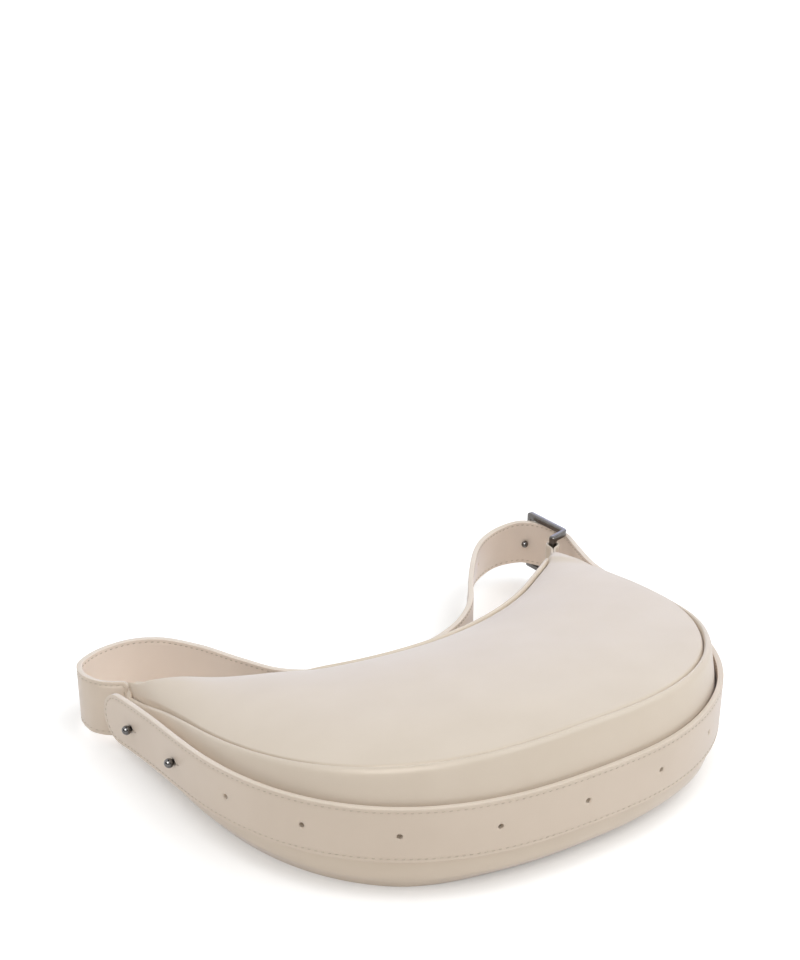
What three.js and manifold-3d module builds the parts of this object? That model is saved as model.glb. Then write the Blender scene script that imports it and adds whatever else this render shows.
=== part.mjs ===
// Crescent shoulder bag lying on its back panel, with a belt strap, ball studs and a zip mouth.
// Millimetres, +Z up. The floor is z = 0, the convex bottom faces -Y and the mouth faces +Y.
import * as THREE from 'three';
import loadManifold from 'manifold-3d';

const manifoldLibrary = await loadManifold();
manifoldLibrary.setup();
const { Manifold, Mesh } = manifoldLibrary;

// Outline of the body, seen from above
const HALF_WIDTH = 178;
const BELLY_Y = 94;
const BELLY_DROP = 191;
const BELLY_POWER = 2.5;
const HORN_LENGTH = 88;
const HORN_FLARE = 2;
const MOUTH_Y = 95;
const MOUTH_RADIUS = 221;
const MOUTH_HALF_ANGLE = THREE.MathUtils.degToRad(53.6);
const RIM_STRAIGHT_FROM = THREE.MathUtils.degToRad(35);
const RIM_STRETCH = 0.97;
const TIP_LEFT = -0.975;
const TIP_RIGHT = 0.94;
const FACING_LEFT = -0.945;
const FACING_RIGHT = 0.905;

// Heights of the seams over the floor
const SEAM_HEIGHT = 92;
const SEAM_HEIGHT_LEFT = 37;
const SEAM_HEIGHT_RIGHT = 58;
const MOUTH_HEIGHT = 60;
const MOUTH_HEIGHT_LEFT = 47;
const MOUTH_HEIGHT_RIGHT = 56;
const SEAM_INSET = 4;
const BASE_INSET = 6.5;
const BASE_INSET_LOST = 5.5;
const GUSSET_BULGE = 8;
const DOME_RATIO = 0.065;

// Sheet thicknesses and the gap left at every seam
const LEATHER = 2.4;
const LINING = 0.8;
const BOARD = 1.2;
const LINING_GAP = 3.2;
const GAP = 0.3;

// Strap: one belt from the left tip, through the buckle, round the gusset to two studs
const STRAP_WIDTH = 37;
const STRAP_THICKNESS = 4;
const STRAP_OFFSET = 10.3;
const TAIL_LIFT = 3;
const TAIL_END = -0.993;
const STRAP_HEIGHT = 47.6;
const STRAP_DROP_LEFT = 18.2;
const STRAP_DROP_RIGHT = 19.5;
const HOLE_PITCH = 60;
const HOLE_RADIUS = 1.8;
const STUD_HOLE_RADIUS = 3;
const FIRST_STUD = -368;
const TAIL_HINGE = -272;
const STUD_BALL_RADIUS = 2.6;
const STUD_NECK_RADIUS = 1.3;

// Buckle frame in plan: free leg with its stud, bent corner, heel bar
const BUCKLE_LEG = new THREE.Vector2(207.7, 240.4);
const BUCKLE_CORNER = new THREE.Vector2(208.3, 196);
const BUCKLE_HEEL = new THREE.Vector2(194.5, 191.3);
const BUCKLE_BAR = 4.4;
const BUCKLE_LOW = 10.5;
const BUCKLE_HIGH = 58;
const BUCKLE_STUD_HEIGHT = 34;
const TAB_ROOT = new THREE.Vector2(182.5, 174.5);
const TAB_HEIGHT = 35.4;
const TAB_LOOP = 4.5;

// Zip in the middle of the mouth wall, on an arc about the mouth's centre
const ZIP_HEIGHT = 30;
const ZIP_CHANNEL = 14;
const ZIP_END = THREE.MathUtils.degToRad(48.5);
const ZIP_REST = THREE.MathUtils.degToRad(-45);
const PULL_LENGTH = 20;

const COLOURS = {
  leather: 0xdccfbe,
  lining: 0xb8ab9a,
  tape: 0xd2c6b4,
  board: 0x9d9282,
  metal: 0x5b5b60,
};

const { lerp } = THREE.MathUtils;
const up = new THREE.Vector3(0, 0, 1);
const bag = new THREE.Group();

function addPiece(name, geometry, kind) {
  const isMetal = kind === 'metal';
  const material = new THREE.MeshStandardMaterial({
    color: COLOURS[kind],
    roughness: isMetal ? 0.25 : 0.6,
    metalness: isMetal ? 1 : 0,
  });
  const mesh = new THREE.Mesh(geometry, material);
  mesh.name = name;
  bag.add(mesh);
  return mesh;
}

// Closed solid between an outer and an inner row of points at each station
function ribbon(stations) {
  const across = stations[0].outer.length;
  const ringSize = 2 * across;
  const positions = [];
  const index = [];
  for (const { outer, inner } of stations) {
    for (const point of [...outer, ...[...inner].reverse()]) positions.push(...point.toArray());
  }
  const addQuad = (a, b, c, d) => index.push(a, b, c, a, c, d);
  for (let i = 0; i < stations.length - 1; i++) {
    for (let j = 0; j < ringSize; j++) {
      const next = (j + 1) % ringSize;
      addQuad(i * ringSize + j, i * ringSize + next, (i + 1) * ringSize + next, (i + 1) * ringSize + j);
    }
  }
  const last = (stations.length - 1) * ringSize;
  for (let j = 0; j < across - 1; j++) {
    const far = ringSize - 1 - j;
    addQuad(j, far, far - 1, j + 1);
    addQuad(last + j, last + j + 1, last + far - 1, last + far);
  }
  return outward(makeGeometry(positions, index));
}

function makeGeometry(positions, index) {
  const geometry = new THREE.BufferGeometry();
  geometry.setAttribute('position', new THREE.Float32BufferAttribute(positions, 3));
  geometry.setIndex(index);
  return geometry;
}

// Turn every triangle round where the solid's signed volume is negative
function outward(geometry) {
  const position = geometry.attributes.position;
  const index = geometry.index.array;
  const corners = [new THREE.Vector3(), new THREE.Vector3(), new THREE.Vector3()];
  let volume = 0;
  for (let i = 0; i < index.length; i += 3) {
    corners.forEach((corner, k) => corner.fromBufferAttribute(position, index[i + k]));
    volume += corners[0].dot(corners[1].clone().cross(corners[2]));
  }
  if (volume < 0) {
    for (let i = 0; i < index.length; i += 3) [index[i], index[i + 1]] = [index[i + 1], index[i]];
  }
  return geometry;
}

function toManifold(geometry) {
  const mesh = new Mesh({
    numProp: 3,
    vertProperties: new Float32Array(geometry.attributes.position.array),
    triVerts: new Uint32Array(geometry.index.array),
  });
  mesh.merge();
  return new Manifold(mesh);
}

function fromManifold(solid) {
  const mesh = solid.getMesh();
  return makeGeometry(Array.from(mesh.vertProperties), Array.from(mesh.triVerts));
}

const joinAll = (geometries) => fromManifold(Manifold.union(geometries.map(toManifold)));

function cutAll(geometry, tools) {
  if (tools.length === 0) return geometry;
  return fromManifold(toManifold(geometry).subtract(Manifold.union(tools.map(toManifold))));
}

function rodBetween(start, end, radius, sides = 16) {
  const along = end.clone().sub(start);
  const rod = new THREE.CylinderGeometry(radius, radius, along.length(), sides);
  const turn = new THREE.Quaternion().setFromUnitVectors(new THREE.Vector3(0, 1, 0), along.clone().normalize());
  rod.applyQuaternion(turn);
  rod.translate(...start.clone().add(end).multiplyScalar(0.5).toArray());
  return rod;
}

function barBetween(start, end, width, low, high) {
  const along = end.clone().sub(start);
  const bar = new THREE.BoxGeometry(along.length(), width, high - low);
  bar.rotateZ(Math.atan2(along.y, along.x));
  bar.translate((start.x + end.x) / 2, (start.y + end.y) / 2, (low + high) / 2);
  return bar;
}

// Outer line of the body: a superellipse belly with two straight horns, from left tip to right tip
function outlinePoints() {
  const half = [];
  const bellySteps = 24;
  for (let i = 0; i <= bellySteps; i++) {
    const angle = (i / bellySteps) * Math.PI / 2;
    const x = HALF_WIDTH * Math.sin(angle) ** (2 / BELLY_POWER);
    const drop = BELLY_DROP * Math.max(Math.cos(angle), 0) ** (2 / BELLY_POWER);
    half.push(new THREE.Vector2(x, BELLY_Y - drop));
  }
  const hornSteps = 6;
  for (let i = 1; i <= hornSteps; i++) {
    const share = i / hornSteps;
    half.push(new THREE.Vector2(HALF_WIDTH + HORN_FLARE * share, BELLY_Y + HORN_LENGTH * share));
  }
  const mirrored = half.slice(1).reverse().map((point) => new THREE.Vector2(-point.x, point.y));
  return [...mirrored, ...half];
}

const outline = new THREE.SplineCurve(outlinePoints());
outline.arcLengthDivisions = 1000;
const OUTLINE_HALF = outline.getLength() / 2;

// Stations run from -1 at the left tip, through 0 at the bottom centre, to 1 at the right tip
function onOutline(station, out, z) {
  const share = (station + 1) / 2;
  const point = outline.getPointAt(share);
  const tangent = outline.getTangentAt(share);
  return new THREE.Vector3(point.x + tangent.y * out, point.y - tangent.x * out, z);
}

function onMouth(station, inset, z) {
  return atMouthAngle(station * MOUTH_HALF_ANGLE, inset, z);
}

function atMouthAngle(angle, inset, z) {
  const radius = MOUTH_RADIUS + inset;
  return new THREE.Vector3(radius * Math.sin(angle), MOUTH_Y + MOUTH_RADIUS - radius * Math.cos(angle), z);
}

// Near the right tip the rim leaves the mouth's arc and runs straight on
function onRim(station, inset, z) {
  const beyond = station * MOUTH_HALF_ANGLE - RIM_STRAIGHT_FROM;
  if (beyond <= 0) return onMouth(station, inset, z);
  const along = MOUTH_RADIUS * beyond * RIM_STRETCH;
  const start = atMouthAngle(RIM_STRAIGHT_FROM, inset, z);
  start.x += Math.cos(RIM_STRAIGHT_FROM) * along;
  start.y += Math.sin(RIM_STRAIGHT_FROM) * along;
  return start;
}

function seamHeight(station) {
  const tip = station < 0 ? SEAM_HEIGHT_LEFT : SEAM_HEIGHT_RIGHT;
  return lerp(SEAM_HEIGHT, tip, Math.abs(station) ** 1.7);
}

function mouthHeight(station) {
  const tip = station < 0 ? MOUTH_HEIGHT_LEFT : MOUTH_HEIGHT_RIGHT;
  return lerp(MOUTH_HEIGHT, tip, station ** 2);
}

const bulgeAt = (station) => GUSSET_BULGE * (1 - station ** 8);
const baseInsetAt = (station) => BASE_INSET - BASE_INSET_LOST * station ** 8;

function stationsBetween(first, last, steps) {
  return Array.from({ length: steps + 1 }, (_, i) => lerp(first, last, i / steps));
}

const stationsTo = (limit, steps) => stationsBetween(-limit, limit, steps);

// Fullness of a panel across its width: steep at the mouth, soft at the seam
function fullness(share) {
  return (1 - (1 - share) ** 8) * (1 - share ** 3) / 0.88;
}

// Panels span from the mouth to the outline. depth is measured down from the front's outer face.
function frontSheet({ stations, depth, thickness, mouthInset, edgeInset }) {
  return ribbon(stations.map((station) => {
    const mouth = onRim(station, mouthInset, mouthHeight(station));
    const edge = onOutline(station, -edgeInset, seamHeight(station) - 0.4);
    const dome = DOME_RATIO * mouth.distanceTo(edge);
    const outer = [0, 0.04, 0.1, 0.2, 0.35, 0.5, 0.65, 0.78, 0.9, 1].map((share) => {
      const point = mouth.clone().lerp(edge, share);
      point.z += dome * fullness(share) - depth;
      return point;
    });
    const inner = outer.map((point) => point.clone().addScaledVector(up, -thickness));
    return { outer, inner };
  }));
}

function backSheet({ limit, low, thickness, mouthInset, edgeGap }) {
  return ribbon(stationsTo(limit, 44).map((station) => {
    const edgeInset = baseInsetAt(station) + edgeGap;
    const ends = [onMouth(station, mouthInset, low), onOutline(station, -edgeInset, low)];
    const outer = ends.map((point) => point.clone().addScaledVector(up, thickness));
    return { outer, inner: ends };
  }));
}

// Profile of the gusset's outer face, from the front seam down to the base
function gussetProfile(station) {
  const height = seamHeight(station);
  const bulge = bulgeAt(station);
  const baseInset = baseInsetAt(station);
  return [
    [-SEAM_INSET + GAP, height - 0.6],
    [-2.4, height + 0.5],
    [-0.4, height - 1.2],
    [bulge * 0.35, height * 0.92],
    [bulge * 0.8, height * 0.74],
    [bulge, height * 0.52],
    [bulge * 0.85, height * 0.32],
    [bulge * 0.5, height * 0.15],
    [-0.28 * baseInset, height * 0.05 + 0.6],
    [-baseInset + GAP, 0],
  ].map(([out, z]) => new THREE.Vector2(out, z));
}

// Move a profile inwards by a depth, along the mean normal at each of its points
function insetProfile(profile, depth) {
  return profile.map((point, i) => {
    const before = profile[Math.max(i - 1, 0)];
    const after = profile[Math.min(i + 1, profile.length - 1)];
    const along = after.clone().sub(before).normalize();
    return new THREE.Vector2(point.x + along.y * depth, point.y - along.x * depth);
  });
}

function gussetSheet({ limit, depth, thickness, from, to }) {
  return ribbon(stationsTo(limit, 56).map((station) => {
    const profile = gussetProfile(station);
    const place = (points) => points.slice(from, to).map((point) => onOutline(station, point.x, point.y));
    return {
      outer: place(depth > 0 ? insetProfile(profile, depth) : profile),
      inner: place(insetProfile(profile, depth + thickness)),
    };
  }));
}

function plainMouthBand(limit, steps, [nearInset, farInset], [low, high]) {
  return ribbon(stationsTo(limit, steps).map((station) => ({
    outer: [low, high].map((z) => onMouth(station, nearInset, z)),
    inner: [low, high].map((z) => onMouth(station, farInset, z)),
  })));
}

// Front facing: upright beside the zip, then up to the rim
function frontFacing(low, bend) {
  return ribbon(stationsBetween(FACING_LEFT, FACING_RIGHT, 44).map((station) => {
    const top = mouthHeight(station);
    const row = (insets) => [
      onMouth(station, insets[0], low),
      onMouth(station, insets[0], bend),
      onRim(station, insets[1], top - 1.4),
      onRim(station, insets[2], top + 0.8),
    ];
    return { outer: row([0, -0.7, 0.6]), inner: row([2.2, 2.6, 3]) };
  }));
}

// Strap: hand-placed route from the sewn end at the left tip to the buckle, then along the gusset
// Each point is x, y, z and the strap's lean in degrees: how far its top edge tips to the outer side
const SHOULDER_ROUTE = [
  [-179.2, 177.1, 28.5, -21], [-188.2, 185, 27.6, -18], [-193.6, 192.6, 27.2, -14], [-195.8, 201.2, 27, -8],
  [-196, 209, 26.5, -4], [-193.8, 218.5, 25.8, -1], [-187.5, 228.5, 25.3, 2], [-169.5, 238, 25, 3],
  [-146, 239.5, 25, 3], [-127, 232, 24.5, 2], [-108, 208, 24, 0], [-93.5, 175, 24, 0],
  [-77, 146, 23.5, 0], [-50, 127, 23.5, 0], [-15, 119.5, 24, 0], [29, 121, 25, 0],
  [62, 133.5, 26, 0], [88, 155, 27.5, -2], [110, 184, 29.5, -4], [128, 213, 31.5, -7],
  [154, 236, 33, -8], [182, 247, 34, -8], [199, 239.7, 34.2, -4], [207.6, 229, 34.2, -2],
  [212.8, 214, 34.2, 0], [213.2, 198, 34.2, 0], [210, 180, 34, 0], [201, 148, 34.2, 0],
  [193.5, 115, 36, 0],
];

function wrapHeight(station) {
  return STRAP_HEIGHT - (station < 0 ? STRAP_DROP_LEFT : STRAP_DROP_RIGHT) * station ** 2;
}

// The sewn end of the strap lies under the tail and pushes it out
function wrapOffset(station) {
  return STRAP_OFFSET + TAIL_LIFT * Math.max(0, (-station - 0.85) / 0.15) ** 2;
}

function strapPoints() {
  const shoulder = SHOULDER_ROUTE.map(([x, y, z]) => new THREE.Vector3(x, y, z));
  const wrap = [];
  const wrapSteps = 26;
  for (let i = 0; i <= wrapSteps; i++) {
    const station = lerp(0.68, TAIL_END, i / wrapSteps);
    wrap.push(onOutline(station, wrapOffset(station), wrapHeight(station)));
  }
  return [...shoulder, ...wrap];
}

const strap = new THREE.CatmullRomCurve3(strapPoints(), false, 'centripetal');
strap.arcLengthDivisions = 2000;
const STRAP_LENGTH = strap.getLength();

// Distance along the strap of the point nearest to a place in plan
function strapDistanceNear(x, y) {
  const samples = 2000;
  let best = 0;
  let bestGap = Infinity;
  for (let i = 0; i <= samples; i++) {
    const point = strap.getPointAt(i / samples);
    const gap = Math.hypot(point.x - x, point.y - y);
    if (gap < bestGap) [best, bestGap] = [i / samples, gap];
  }
  return best * STRAP_LENGTH;
}

function strapLean(share) {
  const position = strap.getUtoTmapping(share) * (strap.points.length - 1);
  const index = Math.floor(position);
  const leanOf = (i) => (i < SHOULDER_ROUTE.length ? SHOULDER_ROUTE[i][3] : 0);
  const eased = THREE.MathUtils.smoothstep(position - index, 0, 1);
  return THREE.MathUtils.degToRad(lerp(leanOf(index), leanOf(index + 1), eased));
}

// Centre of the strap at a distance along it, the side that faces away from the gusset, and its upward edge
function strapFrame(distance) {
  const share = THREE.MathUtils.clamp(distance / STRAP_LENGTH, 0, 1);
  const tangent = strap.getTangentAt(share);
  const lean = strapLean(share);
  const level = new THREE.Vector3(-tangent.y, tangent.x, 0).normalize();
  const side = level.clone().multiplyScalar(Math.cos(lean)).addScaledVector(up, -Math.sin(lean));
  const rise = level.clone().multiplyScalar(Math.sin(lean)).addScaledVector(up, Math.cos(lean));
  return { centre: strap.getPointAt(share), side, rise };
}

// Half the strap's width near an end whose corners have a given radius
function halfWidthNear(gapToEnd, cornerRadius) {
  if (gapToEnd >= cornerRadius) return STRAP_WIDTH / 2;
  const reach = cornerRadius - gapToEnd;
  return STRAP_WIDTH / 2 - cornerRadius + Math.sqrt(Math.max(cornerRadius ** 2 - reach ** 2, 0));
}

function strapPiece({ start, end, step, startCorner = 0, endCorner = 0 }) {
  const distances = [];
  const count = Math.ceil((end - start) / step);
  for (let i = 0; i <= count; i++) distances.push(lerp(start, end, i / count));
  const roundings = [0.02, 0.1, 0.25, 0.5, 0.75];
  for (const share of roundings) {
    if (startCorner) distances.push(start + startCorner * share);
    if (endCorner) distances.push(end - endCorner * share);
  }
  distances.sort((a, b) => a - b);
  const kept = distances.filter((distance, i) => i === 0 || distance - distances[i - 1] > 0.2);
  return ribbon(kept.map((distance) => {
    const { centre, side, rise } = strapFrame(distance);
    const half = Math.max(1.5, Math.min(
      startCorner ? halfWidthNear(distance - start, startCorner) : STRAP_WIDTH / 2,
      endCorner ? halfWidthNear(end - distance, endCorner) : STRAP_WIDTH / 2,
    ));
    const face = (out) => [-half, half].map((reach) => centre.clone()
      .addScaledVector(side, out).addScaledVector(rise, reach));
    return { outer: face(STRAP_THICKNESS / 2), inner: face(-STRAP_THICKNESS / 2) };
  }));
}

function holeTool(distance, radius) {
  const { centre, side } = strapFrame(distance);
  const reach = STRAP_THICKNESS;
  const start = centre.clone().addScaledVector(side, -reach);
  const end = centre.clone().addScaledVector(side, reach);
  return rodBetween(start, end, radius, 14);
}

const wrapCentre = strapDistanceNear(0, BELLY_Y - BELLY_DROP - STRAP_OFFSET);
const firstStud = wrapCentre - FIRST_STUD;
const secondStud = firstStud - HOLE_PITCH;
const tailStart = wrapCentre - TAIL_HINGE;
const buckleHole = strapDistanceNear(203, 236.3);
const holesToBuckle = Math.round((secondStud - buckleHole) / HOLE_PITCH);
const holePitch = (secondStud - buckleHole) / holesToBuckle;
const runStart = buckleHole - 1.6 * HOLE_PITCH;
const runEnd = buckleHole + 1.7 * HOLE_PITCH;

function holesBetween(start, end) {
  const tools = [];
  for (let k = -1; k < holesToBuckle; k++) {
    const distance = buckleHole + k * holePitch;
    if (distance > start + 3 && distance < end - 3) tools.push(holeTool(distance, HOLE_RADIUS));
  }
  return tools;
}

function plainStrapRun(options) {
  return cutAll(strapPiece({ step: 9, ...options }), holesBetween(options.start, options.end));
}

// Ball stud turned from one bar: foot, neck and ball, standing along +Y of the lathe
function studGeometry(neckLength, footRadius) {
  const ballCentre = neckLength + STUD_BALL_RADIUS * 0.85;
  const profile = [new THREE.Vector2(0, 0)];
  if (footRadius > 0) profile.push(new THREE.Vector2(footRadius, 0), new THREE.Vector2(footRadius, 0.9));
  profile.push(new THREE.Vector2(STUD_NECK_RADIUS, footRadius > 0 ? 0.9 : 0));
  const firstAngle = Math.asin(STUD_NECK_RADIUS / STUD_BALL_RADIUS);
  const ballSteps = 9;
  for (let i = 0; i <= ballSteps; i++) {
    const angle = lerp(firstAngle, Math.PI, i / ballSteps);
    const radius = i === ballSteps ? 0 : STUD_BALL_RADIUS * Math.sin(angle);
    profile.push(new THREE.Vector2(radius, ballCentre - STUD_BALL_RADIUS * Math.cos(angle)));
  }
  return new THREE.LatheGeometry(profile, 20);
}

function placeAlong(mesh, position, direction) {
  mesh.position.copy(position);
  mesh.quaternion.setFromUnitVectors(new THREE.Vector3(0, 1, 0), direction.clone().normalize());
}

function addBody() {
  const frontStations = stationsBetween(TIP_LEFT, TIP_RIGHT, 44);
  const frontSize = { stations: frontStations, mouthInset: 3.4, edgeInset: SEAM_INSET + GAP };
  addPiece('front_panel', frontSheet({ ...frontSize, depth: 0, thickness: LEATHER }), 'leather');
  addPiece('back_panel', backSheet({
    limit: 0.975, low: 0, thickness: LEATHER, mouthInset: GAP, edgeGap: LEATHER,
  }), 'leather');
  const studHoles = [firstStud, secondStud].map((distance) => {
    const { centre, side } = strapFrame(distance);
    return rodBetween(centre, centre.clone().addScaledVector(side, -24), STUD_NECK_RADIUS + 0.1);
  });
  const gusset = gussetSheet({ limit: 0.96, depth: 0, thickness: LEATHER, from: 0, to: 10 });
  addPiece('gusset', cutAll(gusset, studHoles), 'leather');
  addPiece('gusset_board', gussetSheet({
    limit: 0.62, depth: LEATHER + GAP, thickness: BOARD, from: 3, to: 8,
  }), 'board');
}

function addLining() {
  const frontSize = { stations: stationsTo(0.82, 44), mouthInset: 8, edgeInset: SEAM_INSET + 14 };
  addPiece('lining_front', frontSheet({
    ...frontSize, depth: LEATHER + GAP, thickness: LINING,
  }), 'lining');
  addPiece('lining_back', backSheet({
    limit: 0.82, low: LEATHER + GAP, thickness: LINING, mouthInset: 8, edgeGap: 14,
  }), 'lining');
  addPiece('lining_gusset', gussetSheet({
    limit: 0.9, depth: LEATHER + LINING_GAP, thickness: LINING, from: 3, to: 8,
  }), 'lining');
  const pocket = new THREE.BoxGeometry(150, 95, 1);
  pocket.translate(0, 22, LEATHER + LINING + 2 * GAP + 0.5);
  addPiece('inner_pocket', pocket, 'lining');
}

function addMouth() {
  const limit = 0.97;
  const steps = 44;
  const channelLow = ZIP_HEIGHT - ZIP_CHANNEL / 2;
  const channelHigh = ZIP_HEIGHT + ZIP_CHANNEL / 2;
  addPiece('mouth_facing_front', frontFacing(channelHigh, channelHigh + 6), 'leather');
  const backEdge = LEATHER + GAP;
  addPiece('mouth_facing_back', plainMouthBand(limit, steps, [0, 2.2], [backEdge, channelLow]), 'leather');
  const tapeInsets = [2.5, 3.3];
  addPiece('zip_tape_front', plainMouthBand(0.95, 40, tapeInsets, [ZIP_HEIGHT + 3.5, ZIP_HEIGHT + 12]), 'tape');
  addPiece('zip_tape_back', plainMouthBand(0.95, 40, tapeInsets, [ZIP_HEIGHT - 12, ZIP_HEIGHT - 3.5]), 'tape');
  const teethLimit = ZIP_END / MOUTH_HALF_ANGLE;
  const teethInsets = [1.6, 4.2];
  addPiece('zip_teeth_front', plainMouthBand(teethLimit, 40, teethInsets, [ZIP_HEIGHT + 0.8, ZIP_HEIGHT + 3.2]), 'metal');
  addPiece('zip_teeth_back', plainMouthBand(teethLimit, 40, teethInsets, [ZIP_HEIGHT - 3.2, ZIP_HEIGHT - 0.8]), 'metal');
  for (const [name, hand] of [['left', -1], ['right', 1]]) {
    addPiece(`zip_stop_${name}`, mouthBlock(hand * (ZIP_END + 0.008), 2.4, [1.6, 4.4], 6), 'metal');
    addPiece(`zip_end_tab_${name}`, mouthBlock(hand * (ZIP_END + 0.045), 8, [0.2, 2.1], ZIP_CHANNEL - 1), 'leather');
  }
}

// Box on the zip's line: length along the mouth, depth through its wall, height across the zip
function mouthBlock(angle, length, [nearInset, farInset], height, rise = 0, shift = 0) {
  const block = new THREE.BoxGeometry(length, farInset - nearInset, height);
  block.translate(shift, -(nearInset + farInset) / 2, 0);
  block.rotateZ(angle);
  block.translate(...atMouthAngle(angle, 0, ZIP_HEIGHT + rise).toArray());
  return block;
}

function addZipSlider() {
  const block = (length, insets, height, rise, shift) => mouthBlock(ZIP_REST, length, insets, height, rise, shift);
  addPiece('zip_slider', joinAll([
    block(14, [-0.4, 1.3], 10),
    block(14, [4.5, 6], 10),
    block(2.4, [0.9, 4.9], 1.2, 0, 4.6),
    block(1.3, [-3.9, -0.2], 2.4, 0, -2.9),
    block(1.3, [-3.9, -0.2], 2.4, 0, 2.9),
    block(7.1, [-3.9, -2.9], 2.4),
  ]), 'metal');
  const pin = atMouthAngle(ZIP_REST, -1.8, ZIP_HEIGHT);
  const halfEye = 3.5;
  const pinLow = pin.clone().addScaledVector(up, -halfEye);
  const pinHigh = pin.clone().addScaledVector(up, halfEye);
  addPiece('zip_pull', joinAll([
    rodBetween(pinLow, pinHigh, 0.7, 12),
    block(6.2, [-2.5, -1.1], 1.4, 2.8, 2.9),
    block(6.2, [-2.5, -1.1], 1.4, -2.8, 2.9),
    block(PULL_LENGTH - 5, [-2.5, -1.1], 7, 0, 5 + (PULL_LENGTH - 5) / 2),
  ]), 'metal');
}

function addStrap() {
  addPiece('strap_shoulder', plainStrapRun({ start: 0, end: runStart - GAP, startCorner: 5 }), 'leather');
  addPiece('strap_buckle_run', plainStrapRun({ start: runStart, end: runEnd, step: 6 }), 'leather');
  addPiece('strap_wrap', plainStrapRun({ start: runEnd + GAP, end: tailStart - GAP }), 'leather');
  const tail = strapPiece({ start: tailStart, end: STRAP_LENGTH, step: 9, endCorner: STRAP_WIDTH / 2 });
  const studHoles = [firstStud, secondStud].map((distance) => holeTool(distance, STUD_HOLE_RADIUS));
  addPiece('strap_tail', cutAll(tail, [...studHoles, ...holesBetween(tailStart, STRAP_LENGTH)]), 'leather');
}

// Ball studs stand on the gusset. Their screws hold them from inside.
function addStuds() {
  [firstStud, secondStud].forEach((distance, i) => {
    const { centre, side } = strapFrame(distance);
    const foot = gussetFaceBelow(centre);
    const neckLength = foot + STRAP_THICKNESS / 2 + 0.4;
    const start = centre.clone().addScaledVector(side, -foot);
    const stud = addPiece(`tail_stud_${i + 1}`, studGeometry(neckLength, 3), 'metal');
    placeAlong(stud, start.addScaledVector(side, 2 * GAP), side);
    const shank = rodBetween(new THREE.Vector3(), new THREE.Vector3(0, 2.2, 0), STUD_NECK_RADIUS - 0.1);
    const head = rodBetween(new THREE.Vector3(0, -0.9, 0), new THREE.Vector3(0, 0.1, 0), 3.2);
    const screw = addPiece(`stud_screw_${i + 1}`, joinAll([shank, head]), 'metal');
    placeAlong(screw, centre.clone().addScaledVector(side, -foot - LEATHER - 4 * GAP), side);
  });
}

// Distance from the strap's middle line in to the gusset's outer face at the same height
function gussetFaceBelow(centre) {
  const station = nearestStation(centre);
  const profile = gussetProfile(station);
  for (let i = 0; i < profile.length - 1; i++) {
    const [above, below] = [profile[i], profile[i + 1]];
    if (above.y >= centre.z && below.y <= centre.z) {
      const share = (above.y - centre.z) / (above.y - below.y);
      return wrapOffset(station) - lerp(above.x, below.x, share);
    }
  }
  return wrapOffset(station) - bulgeAt(station);
}

function nearestStation(point) {
  const stations = stationsTo(1, 800);
  const gapAt = (station) => {
    const place = onOutline(station, 0, 0);
    return Math.hypot(place.x - point.x, place.y - point.y);
  };
  return stations.reduce((best, station) => (gapAt(station) < gapAt(best) ? station : best));
}

function addBuckle() {
  const half = BUCKLE_BAR / 2;
  const pieces = [];
  for (const low of [BUCKLE_LOW, BUCKLE_HIGH - BUCKLE_BAR]) {
    const high = low + BUCKLE_BAR;
    pieces.push(barBetween(BUCKLE_LEG, BUCKLE_CORNER, BUCKLE_BAR, low, high));
    pieces.push(barBetween(BUCKLE_CORNER, BUCKLE_HEEL, BUCKLE_BAR, low, high));
    const knee = new THREE.Vector3(BUCKLE_CORNER.x, BUCKLE_CORNER.y, low);
    pieces.push(rodBetween(knee, knee.clone().setZ(high), half));
  }
  const heel = new THREE.Vector3(BUCKLE_HEEL.x, BUCKLE_HEEL.y, BUCKLE_LOW);
  pieces.push(rodBetween(heel, heel.clone().setZ(BUCKLE_HIGH), half));
  const leg = new THREE.BoxGeometry(BUCKLE_BAR, BUCKLE_BAR, BUCKLE_HIGH - BUCKLE_LOW);
  leg.translate(BUCKLE_LEG.x, BUCKLE_LEG.y, (BUCKLE_LOW + BUCKLE_HIGH) / 2);
  pieces.push(leg);
  addPiece('buckle_frame', joinAll(pieces), 'metal');

  const { centre } = strapFrame(buckleHole);
  const legCentre = new THREE.Vector3(BUCKLE_LEG.x, BUCKLE_LEG.y, BUCKLE_STUD_HEIGHT);
  const inward = centre.clone().sub(legCentre);
  const reach = inward.length();
  inward.normalize();
  const footGap = half * 1.42;
  const stud = addPiece('buckle_stud', studGeometry(reach - footGap + STRAP_THICKNESS / 2 + 0.6, 0), 'metal');
  placeAlong(stud, legCentre.addScaledVector(inward, footGap), inward);
}

// Leather tab folded round the heel bar, drawn in plan as a ring with a stem
function addBuckleTab() {
  const stem = BUCKLE_HEEL.clone().sub(TAB_ROOT);
  const low = BUCKLE_STUD_HEIGHT - TAB_HEIGHT / 2;
  const high = BUCKLE_STUD_HEIGHT + TAB_HEIGHT / 2;
  const stemEnd = TAB_ROOT.clone().addScaledVector(stem, 0.8);
  const ringLow = new THREE.Vector3(BUCKLE_HEEL.x, BUCKLE_HEEL.y, low);
  const ring = rodBetween(ringLow, ringLow.clone().setZ(high), TAB_LOOP, 28);
  const bore = rodBetween(ringLow.clone().setZ(low - 1), ringLow.clone().setZ(high + 1), BUCKLE_BAR / 2 + GAP, 24);
  const solid = joinAll([ring, barBetween(TAB_ROOT, stemEnd, 4.2, low, high)]);
  addPiece('buckle_tab', cutAll(solid, [bore]), 'leather');
}

addBody();
addLining();
addMouth();
addZipSlider();
addStrap();
addStuds();
addBuckle();
addBuckleTab();

export default bag;
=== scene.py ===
# Looks of a crescent shoulder bag with a belt strap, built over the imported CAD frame.
# Lengths are millimetres until a mesh is made. Blender's unit is the metre.
import math

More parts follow.
